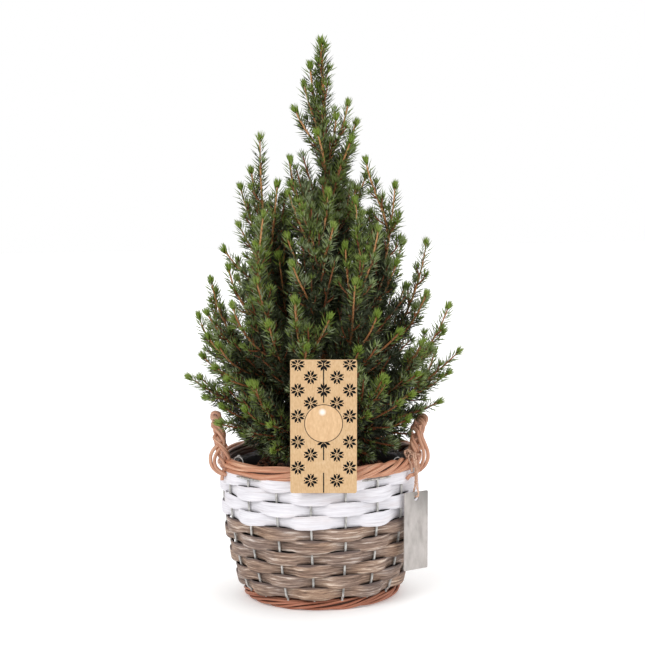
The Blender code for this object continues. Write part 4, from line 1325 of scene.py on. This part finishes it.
def shootTo(tip, fork, kind):
    name, start, ahead = fork
    away = tip - start
    length = np.linalg.norm(away)
    upward = 0.10 + 0.26 * min(1.0, max(0.0, (tip[2] - 0.20) / 0.12))
    if kind == "skirt":
        upward = 0.10
    ending = unit(unit(away) * (1 - upward) + np.array((0, 0, 1.0)) * upward)
    bend = draw.normal(0, 0.005 * length / 0.1, 3)
    path = bezier(start, start + ahead * length * 0.34, tip - ending * length * 0.46 + bend, tip, 22)
    path = cutShort(path, crown["stemShort"])
    return {"path": path, "owner": name, "level": 1, "kind": kind, "thick": 0.00116, "leafFrom": 0.10}


def growSides(parent, level):
    # side shoots leave all round, longer the further they are from the parent's tip
    look = crown["levels"][level]
    path = parent["path"]
    lengths = pathLengths(path)
    total = lengths[-1]
    tangents, across, upward = carriedFrames(path)
    turn = draw.uniform(0, tau)
    back = draw.uniform(*look["from"])
    spacing, sideShare = look["spacing"], crown["sideShare"]
    leader = parent["owner"] == "leader" and parent["level"] == 0
    if leader:
        back, spacing, sideShare = (crown["leader"][key] for key in ("from", "spacing", "sideShare"))
    elif path[-1][2] > crown["sparseAbove"]:
        spacing *= crown["sparser"]
    made = []
    while back < total * look["over"]:
        turn += crown["goldenTurn"] + draw.normal(0, 0.25)
        at = total - back
        i = min(int(np.searchsorted(lengths, at)), len(path) - 1)
        step = (path[i] - path[i - 1]) * (at - lengths[i - 1])
        start = path[i - 1] + step / max(lengths[i] - lengths[i - 1], 1e-9)
        radial = across[i] * math.cos(turn) + upward[i] * math.sin(turn)
        angle = crown["sideAngle"] * draw.uniform(0.75, 1.25)
        reach = back * sideShare * draw.uniform(0.72, 1.18)
        longest = look["longest"] * draw.uniform(0.7, 1.05)
        reach = min(longest, max(crown["sideShortest"] * draw.uniform(0.8, 1.2), reach))
        away = tangents[i] * math.cos(angle) + radial * math.sin(angle)
        ending = unit(tangents[i] * 0.85 + radial * 0.30 + np.array((0, 0, 0.34)))
        tip = start + away * reach * 0.62 + ending * reach * 0.38
        back += spacing * draw.uniform(0.75, 1.3)
        # fewer point straight down, and fewer stand low on the leader
        if radial[2] < -0.55 and draw.random() < 0.35:
            continue
        if leader and back > crown["leader"]["thinFrom"] and draw.random() < crown["leader"]["thinned"]:
            continue
        if tip[2] < crown["lowest"] or outwardShare(tip)[0] > 1.04:
            continue
        side = bezier(start, start + away * reach * 0.36, tip - ending * reach * 0.34, tip, 9)
        made.append({"path": side, "owner": parent["owner"], "level": level, "kind": "side",
                     "thick": look["thick"], "leafFrom": 0.06})
    return made


def fillingTips():
    # tips that fill the crown behind and within the leading ones: even spirals with a little chance
    made = []
    for n in range(crown["backShoots"]):
        share = (n + 0.5) / crown["backShoots"]
        height = 0.185 + 0.262 * share**1.20 + draw.uniform(-0.008, 0.008)
        spread = np.interp(height, (0.36, 0.50), (78, 40))
        turn = math.radians(90 + spread * (2 * ((n * crown["goldenShare"]) % 1.0) - 1))
        reach = outlineReach(height) * draw.uniform(0.84, 0.98)
        made.append(("back", reach, turn, height))
    for n in range(crown["innerShoots"]):
        share = (n + 0.5) / crown["innerShoots"]
        height = 0.165 + 0.270 * share**0.9 + draw.uniform(-0.006, 0.006)
        turn = tau * ((n * crown["goldenShare"]) % 1.0) + draw.normal(0, 0.15)
        reach = outlineReach(height + 0.045 * share) * draw.uniform(0.30, 0.90)
        made.append(("inner", reach, turn, height))
    for n in range(crown["skirtShoots"]):
        height = draw.uniform(0.141, 0.184)
        turn = tau * (n + draw.uniform(-0.3, 0.3)) / crown["skirtShoots"]
        reach = outlineReach(height) * draw.uniform(0.62, 0.98)
        made.append(("skirt", reach, turn, height))
    tips = []
    for kind, reach, turn, height in made:
        x, y = crown["middle"] + reach * math.cos(turn), reach * crown["depthShare"] * math.sin(turn)
        tips.append((kind, np.array((x, y, height))))
    return tips


def growCrown():
    along = np.linspace(0, 1, 40)
    lines = {name: np.array([limbPoint(limb, s) for s in along]) for name, limb in limbs.items()}
    lines["leader"] = np.array([trunkPoint(z) for z in np.linspace(0.20, trunk["tip"].z, 60)])
    places, names, ahead = [], [], []
    for name, line in lines.items():
        first = 12 if name == "leader" else 5
        places += list(line[first:-3])
        ahead += list(unit(np.diff(line, axis=0))[first:-2])
        names += [name] * (len(line) - 3 - first)
    places, ahead = np.array(places), np.array(ahead)
    shoots = []
    for name, line in lines.items():
        short = crown["leaderShort" if name == "leader" else "stemShort"]
        shoots.append({"path": cutShort(line, short), "owner": name, "level": 0, "kind": "leading",
                       "thick": 0.0012, "leafFrom": 0.12})
    tips = [("leading", np.array(tip)) for tip in leadingTips]
    tips += [("inner", np.array(tip)) for tip in quietTips]
    tips += fillingTips()
    for kind, tip in tips:
        wanted = 0.052 if kind == "skirt" else draw.uniform(0.070, 0.115)
        shoots.append(shootTo(tip, bestFork(tip, places, names, ahead, wanted), kind))
    mains = list(shoots)
    for parent in mains:
        shoots += growSides(parent, 2)
    for parent in [s for s in shoots if s["level"] == 2]:
        if pathLengths(parent["path"])[-1] > 0.024 and parent["path"][-1][2] < 0.44:
            shoots += growSides(parent, 3)
    return shoots


shoots = growCrown()
grown = sum(float(pathLengths(s["path"])[-1]) for s in shoots)
print("shoots grown:", len(shoots), "total length", round(grown, 2))

# needle tints, from the innermost to the newest; the darker ones are partly painted shade within the crown
# and partly older needles; a shoot keeps mostly to one of each three
tints = {
    "shade": [srgb(25, 31, 14), srgb(31, 40, 18), srgb(36, 45, 26)],
    "deep": [srgb(43, 50, 20), srgb(54, 63, 28), srgb(62, 71, 47)],
    "middle": [srgb(82, 97, 36), srgb(99, 115, 50), srgb(132, 144, 106)],
    "fresh": [srgb(97, 117, 38), srgb(114, 134, 50), srgb(136, 151, 100)],
    "tip": [srgb(108, 132, 36), srgb(121, 144, 45), srgb(131, 149, 66)],
}


def needleFinishes():
    made = []
    for kind, colours in tints.items():
        for n, colour in enumerate(colours):
            finish = newFinish(f"needle{kind.capitalize()}{n + 1}", colour, 0.46)
            setSockets(finish, {"Specular IOR Level": 0.45})
            made.append(finish)
    return made


tintStart = {kind: 3 * n for n, kind in enumerate(tints)}


def placeNeedles(shoot):
    # where each needle of one shoot stands, which way it points, and its tint
    path = shoot["path"]
    lengths = pathLengths(path)
    total = lengths[-1]
    tangents, across, upward = carriedFrames(path)
    stout = shoot["owner"] == "leader" and shoot["level"] == 0
    leads = shoot["kind"] in ("leading", "back")
    highSide = path[-1][2] > 0.400 and not leads
    pitch = crown["needlePitch"] * (0.60 if stout else 1.0 if leads else 1.42 if highSide else 1.15)
    count = max(4, int(total * (1 - shoot["leafFrom"]) / pitch))
    at = total * shoot["leafFrom"] + (np.arange(count) + draw.uniform(-0.4, 0.4, count)) * pitch
    at = np.clip(at, 0, total * 0.999)
    tuft = crown["tuftNeedles" if leads else "sideTuft"]
    at = np.concatenate((at, total - draw.uniform(0.0002, 0.0042, tuft)))
    # older wood on the leading shoots has lost some of its needles
    if leads:
        kept = np.interp(total - at, (0.040, 0.100), (1.0, 0.30 if stout else 0.60))
        at = at[draw.random(len(at)) < kept]
    turn = np.arange(len(at)) * crown["goldenTurn"] + draw.normal(0, 0.3, len(at))

    def along(values):
        return np.stack([np.interp(at, lengths, values[:, i]) for i in range(3)], axis=1)

    place, ahead = along(path), unit(along(tangents))
    side, high = along(across), along(upward)
    radial = unit(side * np.cos(turn)[:, None] + high * np.sin(turn)[:, None])
    fromTip = total - at
    opening = crown["openingLeader" if stout else "openingLeading" if leads else "openingSide"]
    degrees = np.interp(fromTip, crown["openingAt"], opening)
    angle = np.radians(degrees + draw.normal(0, 7, len(at)))
    direction = ahead * np.cos(angle)[:, None] + radial * np.sin(angle)[:, None]
    direction = unit(direction + np.array((0, 0, 0.10)))
    length = crown["needleLength"] * np.interp(fromTip, (0.0, 0.003, 0.012, 0.08), (0.62, 0.80, 1.0, 0.96))
    length = length * draw.uniform(0.80, 1.14, len(at)) * (1.18 if stout else 1.0)
    place = place + radial * (shoot["thick"] * 0.7)
    # tint: darker within the crown, as painted shade, and on old wood; freshest at the tips that lead
    inset = (1 - outwardShare(place)) * outlineReach(place[:, 2])
    height = place[:, 2]
    tint = np.full(len(at), tintStart["middle"])
    tint[(fromTip > 0.060) | (inset > 0.040) | (inset > 0.022) & (fromTip > 0.025)] = tintStart["deep"]
    # the upper crown is thin, so light reaches into it
    tint[(height > 0.385) & (fromTip < 0.070)] = tintStart["middle"]
    tint[(height > 0.400) & (fromTip > 0.014) & (draw.random(len(at)) < 0.5)] = tintStart["deep"]
    # the skirt is shaded from above
    tint[(height < 0.215) & (inset > 0.008) & (fromTip > 0.010)] = tintStart["deep"]
    tint[(height < 0.200) & (inset > 0.014) & (fromTip > 0.008)] = tintStart["shade"]
    if leads:
        tint[fromTip < 0.013] = tintStart["fresh"]
        tint[fromTip < 0.0050] = tintStart["tip"]
    else:
        tint[(fromTip < 0.010) & (inset < 0.030) & (height > 0.205)] = tintStart["fresh"]
    variety = int(draw.integers(0, 3))
    fresher = (draw.random(len(at)) < 0.12) & (tint <= tintStart["middle"])
    tint = tint + 3 * fresher + (variety + (draw.random(len(at)) < 0.30)) % 3
    return {"place": place, "direction": direction, "ahead": ahead, "length": length, "tint": tint}


clear = {
    "card": 0.0030, "cardBack": 0.0035, "soil": 0.131, "overTop": 0.006,
    "rim": 0.1530, "rimHeights": (0.130, 0.153), "rimReaches": (0.086, 0.096),
}


def keepClear(spray):
    # no needle reaches through the card, into the soil or the rim, or far over the frame's box
    tips = spray["place"] + spray["direction"] * spray["length"][:, None]
    look = cardPrint
    nearCard = (
        (np.abs(tips[:, 0] - look["centre"].x) < look["width"] / 2 + clear["card"])
        & (np.abs(tips[:, 2] - look["centre"].z) < look["height"] / 2 + clear["card"])
        & (np.minimum(tips[:, 1], spray["place"][:, 1]) < look["centre"].y + clear["cardBack"])
    )
    reach = np.hypot(tips[:, 0], tips[:, 1])
    within = np.interp(tips[:, 2], clear["rimHeights"], clear["rimReaches"])
    nearRim = (tips[:, 2] < clear["rim"]) & (reach > within)
    keep = ~nearCard & ~nearRim & (tips[:, 2] > clear["soil"]) & (tips[:, 2] < cadHigh.z + clear["overTop"])
    return {key: value[keep] for key, value in spray.items()}


def needleMesh(name, sprays, finishes):
    # a needle is a three-sided blade, a little bent, drawn to a point at both ends: 5 points and 6 faces
    joined = {key: np.concatenate([s[key] for s in sprays]) for key in sprays[0]}
    count = len(joined["length"])
    direction, place, length = joined["direction"], joined["place"], joined["length"][:, None]
    side = unit(np.cross(direction, joined["ahead"]) + 1e-6)
    keel = unit(np.cross(side, direction))
    width = crown["needleWidth"] * draw.uniform(0.85, 1.15, count)[:, None] / 2
    curve = draw.uniform(0.04, 0.16, count)[:, None] * length
    toward = unit(joined["ahead"] + np.array((0, 0, 0.4)))
    middle = place + direction * length * 0.40 - toward * curve * 0.10
    tip = place + direction * length + toward * curve
    points = np.stack((
        place, middle + side * width, middle - side * width - keel * width * 0.3, middle + keel * width, tip,
    ), axis=1)
    pattern = np.array(((0, 2, 1), (0, 3, 2), (0, 1, 3), (1, 2, 4), (2, 3, 4), (3, 1, 4)))
    faces = (pattern[None] + 5 * np.arange(count)[:, None, None]).reshape(-1, 3)
    mesh = bpy.data.meshes.new(name)
    mesh.vertices.add(5 * count)
    mesh.vertices.foreach_set("co", points.ravel().astype(np.float32))
    mesh.loops.add(faces.size)
    mesh.loops.foreach_set("vertex_index", faces.ravel().astype(np.int32))
    mesh.polygons.add(len(faces))
    mesh.polygons.foreach_set("loop_start", np.arange(0, faces.size, 3, dtype=np.int32))
    for finish in finishes:
        mesh.materials.append(finish)
    mesh.polygons.foreach_set("material_index", np.repeat(joined["tint"], 6).astype(np.int32))
    mesh.update(calc_edges=True)
    return addObject(name, mesh), count


def shootBark(name, pale, plain, dark):
    # young bark: orange brown with fine ridges, redder and darker low on the plant
    finish = newFinish(name, plain, 0.6)
    place = grainPlace(finish)
    ridges = noiseOn(finish, place, 1.0, (420, 1500, 60), 3, 0.6)
    patches = noiseOn(finish, place, 1.0, (28, 30, 60), 3)
    young = ramp(finish, ridges, [(0.28, dark), (0.50, plain), (0.78, pale)])
    old = ramp(finish, ridges, [(0.28, srgb(84, 42, 22)), (0.50, srgb(140, 76, 40)),
                                (0.78, srgb(184, 118, 72))])
    base = layOver(finish, old, young, heightOf(finish), 0.20, 0.40, 1.0, 0.15)
    wire(finish, layOver(finish, base, dark, patches, 0.42, 0.66, 0.45), "Base Color")
    bumpFrom(finish, ridges, 0.7, 0.0004)
    return finish


outerBark = shootBark("outerBark", srgb(240, 202, 150), srgb(200, 142, 86), srgb(150, 90, 48))
# a darker copy of the shoot bark for twigs that don't lead: painted shade within the crown
shadedTwigBark = shootBark("shadedTwigBark", srgb(186, 132, 86), srgb(140, 86, 50), srgb(88, 50, 30))


def oldBark():
    finish = newFinish("oldBark", srgb(118, 76, 50), 0.82)
    place = grainPlace(finish)
    scales = noiseOn(finish, place, 1.0, (170, 420, 40), 6, 0.7)
    old = ramp(finish, scales, [
        (0.28, srgb(54, 34, 24)), (0.48, srgb(116, 74, 48)),
        (0.70, srgb(168, 118, 78)), (0.85, srgb(190, 150, 112)),
    ])
    young = ramp(finish, scales, [
        (0.30, srgb(140, 84, 44)), (0.50, srgb(196, 132, 78)), (0.74, srgb(236, 190, 134))])
    wire(finish, layOver(finish, old, young, heightOf(finish), 0.36, 0.44, 1.0), "Base Color")
    bumpFrom(finish, scales, 0.9, 0.0012)
    return finish


def makeTrunk():
    # old bark in ridges that run up the stem and break into scales
    tall = trunk["tip"].z - crown["leaderShort"] - trunk["low"]
    heights = trunk["low"] + tall * np.linspace(0, 1, 300) ** 1.35
    sides = 36
    angles = tau * np.arange(sides) / sides
    rings = np.zeros((len(heights), sides, 3))
    grain = np.zeros_like(rings)
    for i, z in enumerate(heights):
        radius = trunkRadius(float(z))
        ridge = 0.055 * np.sin(7 * angles + 9 * z * 10 + 1.4 * math.sin(z * 160))
        scale = 0.050 * np.sin(13 * angles - 30 * z * 10) * math.sin(z * 900 + 1.0)
        lobes = 0.10 * np.sin(5 * angles + 0.5) * math.exp(-(z - trunk["low"]) / 0.012)
        reach = radius * (1 + ridge + scale + lobes)
        centre = trunkPoint(float(z))
        rings[i, :, 0] = centre[0] + reach * np.cos(angles)
        rings[i, :, 1] = centre[1] + reach * np.sin(angles)
        rings[i, :, 2] = z
        grain[i, :, 0] = z
        grain[i, :, 1] = angles * 0.006
    shape = newShape()
    addRings(shape, rings, grain)
    makePiece("trunkBark", shape, [oldBark()], ["trunk"], sharpAngle=70)


def makeBoughs():
    # each limb's own stem, whole from the trunk to its tip
    shape = newShape()
    for n, (name, limb) in enumerate(limbs.items()):
        path = np.array([limbPoint(limb, s) for s in np.linspace(0.0, 1.0, 90) ** 0.9])
        path = cutShort(path, crown["stemShort"])
        share = np.linspace(0, 1, len(path))
        radius = np.interp(share, (0, 0.06, 0.32, 0.7, 1.0), (0.0036, 0.0026, 0.0019, 0.0012, 0.00065))
        addTube(shape, path, radius, 12, lumps=0.07, seed=n)
    makePiece("boughBark", shape, [outerBark], [f"bough_{name}" for name in limbs])


def makeFoliage():
    finishes = needleFinishes()
    counts = []
    for owner in [*limbs, "leader"]:
        mine = [s for s in shoots if s["owner"] == owner]
        sprays = [keepClear(placeNeedles(s)) for s in mine]
        label = "".join(word.capitalize() for word in owner.split("_"))
        piece, count = needleMesh("spray" + label, sprays, finishes)
        rideAndReplace(piece, ["needles_" + owner])
        counts.append(count)
        twigs = newShape()
        for n, shoot in enumerate(mine):
            if shoot["level"] == 0:
                continue
            share = np.linspace(0, 1, len(shoot["path"]))
            radius = shoot["thick"] * (1.30 - 0.65 * share)
            # twigs that don't lead take the darker bark, as painted shade
            inner = 0 if shoot["kind"] in ("leading", "back") else 1
            addTube(twigs, shoot["path"], radius, 6, lumps=0.04, finish=inner, seed=n)
        if twigs["count"]:
            makePiece("twigs" + label, twigs, [outerBark, shadedTwigBark])
    most, every = max(counts) * 6, sum(counts) * 6
    print("needles:", sum(counts), "largest spray piece:", most, "triangles, all:", every)


makeTrunk()
makeBoughs()
makeFoliage()

# floor and light: even soft suns keep the pale floor white all the way back
studio = {
    "skyLight": 0.47,
    "skySeen": 1.0,
    "floorGlow": 0.18,
    "floorColour": (0.95, 0.95, 0.95),
    "floorHalf": 6.0,
    "key": {"from": (-0.86, -0.96, 1.02), "strength": 1.30, "spread": 26},
    "top": {"from": (0.25, 0.10, 1.0), "strength": 1.00, "spread": 60},
    "fill": {"from": (1.0, -0.8, 0.40), "strength": 0.80, "spread": 50},
    "back": {"from": (-0.1, 1.0, 0.70), "strength": 0.60, "spread": 60},
}


def addSun(name, look):
    lamp = bpy.data.lights.new(name, "SUN")
    lamp.energy = look["strength"]
    lamp.angle = math.radians(look["spread"])
    holder = addObject(name, lamp)
    holder.location = Vector(look["from"]) * 1.5
    holder.rotation_euler = (-Vector(look["from"])).to_track_quat("-Z", "Y").to_euler()


def makeStudio():
    world = bpy.data.worlds.new("studioWorld")
    world.use_nodes = True
    nodes, links = world.node_tree.nodes, world.node_tree.links
    sky = nodes["Background"]
    sky.inputs["Color"].default_value = (1, 1, 1, 1)
    seen = nodes.new("ShaderNodeLightPath").outputs["Is Camera Ray"]
    strength = nodes.new("ShaderNodeMapRange")
    strength.inputs["To Min"].default_value = studio["skyLight"]
    strength.inputs["To Max"].default_value = studio["skySeen"]
    links.new(seen, strength.inputs["Value"])
    links.new(strength.outputs["Result"], sky.inputs["Strength"])
    bpy.context.scene.world = world
    for name in ("key", "top", "fill", "back"):
        addSun(name + "Sun", studio[name])
    half = studio["floorHalf"]
    mesh = bpy.data.meshes.new("studioFloor")
    corners = [(-half, -half, 0), (half, -half, 0), (half, half, 0), (-half, half, 0)]
    mesh.from_pydata(corners, [], [(0, 1, 2, 3)])
    floor = addObject("studioFloor", mesh)
    paint = newFinish("floorPaint", studio["floorColour"], 0.9)
    setSockets(paint, {"Emission Color": (1, 1, 1, 1), "Emission Strength": studio["floorGlow"]})
    mesh.materials.append(paint)
    bpy.context.scene.view_settings.view_transform = "Standard"


makeStudio()
print("studio lit")
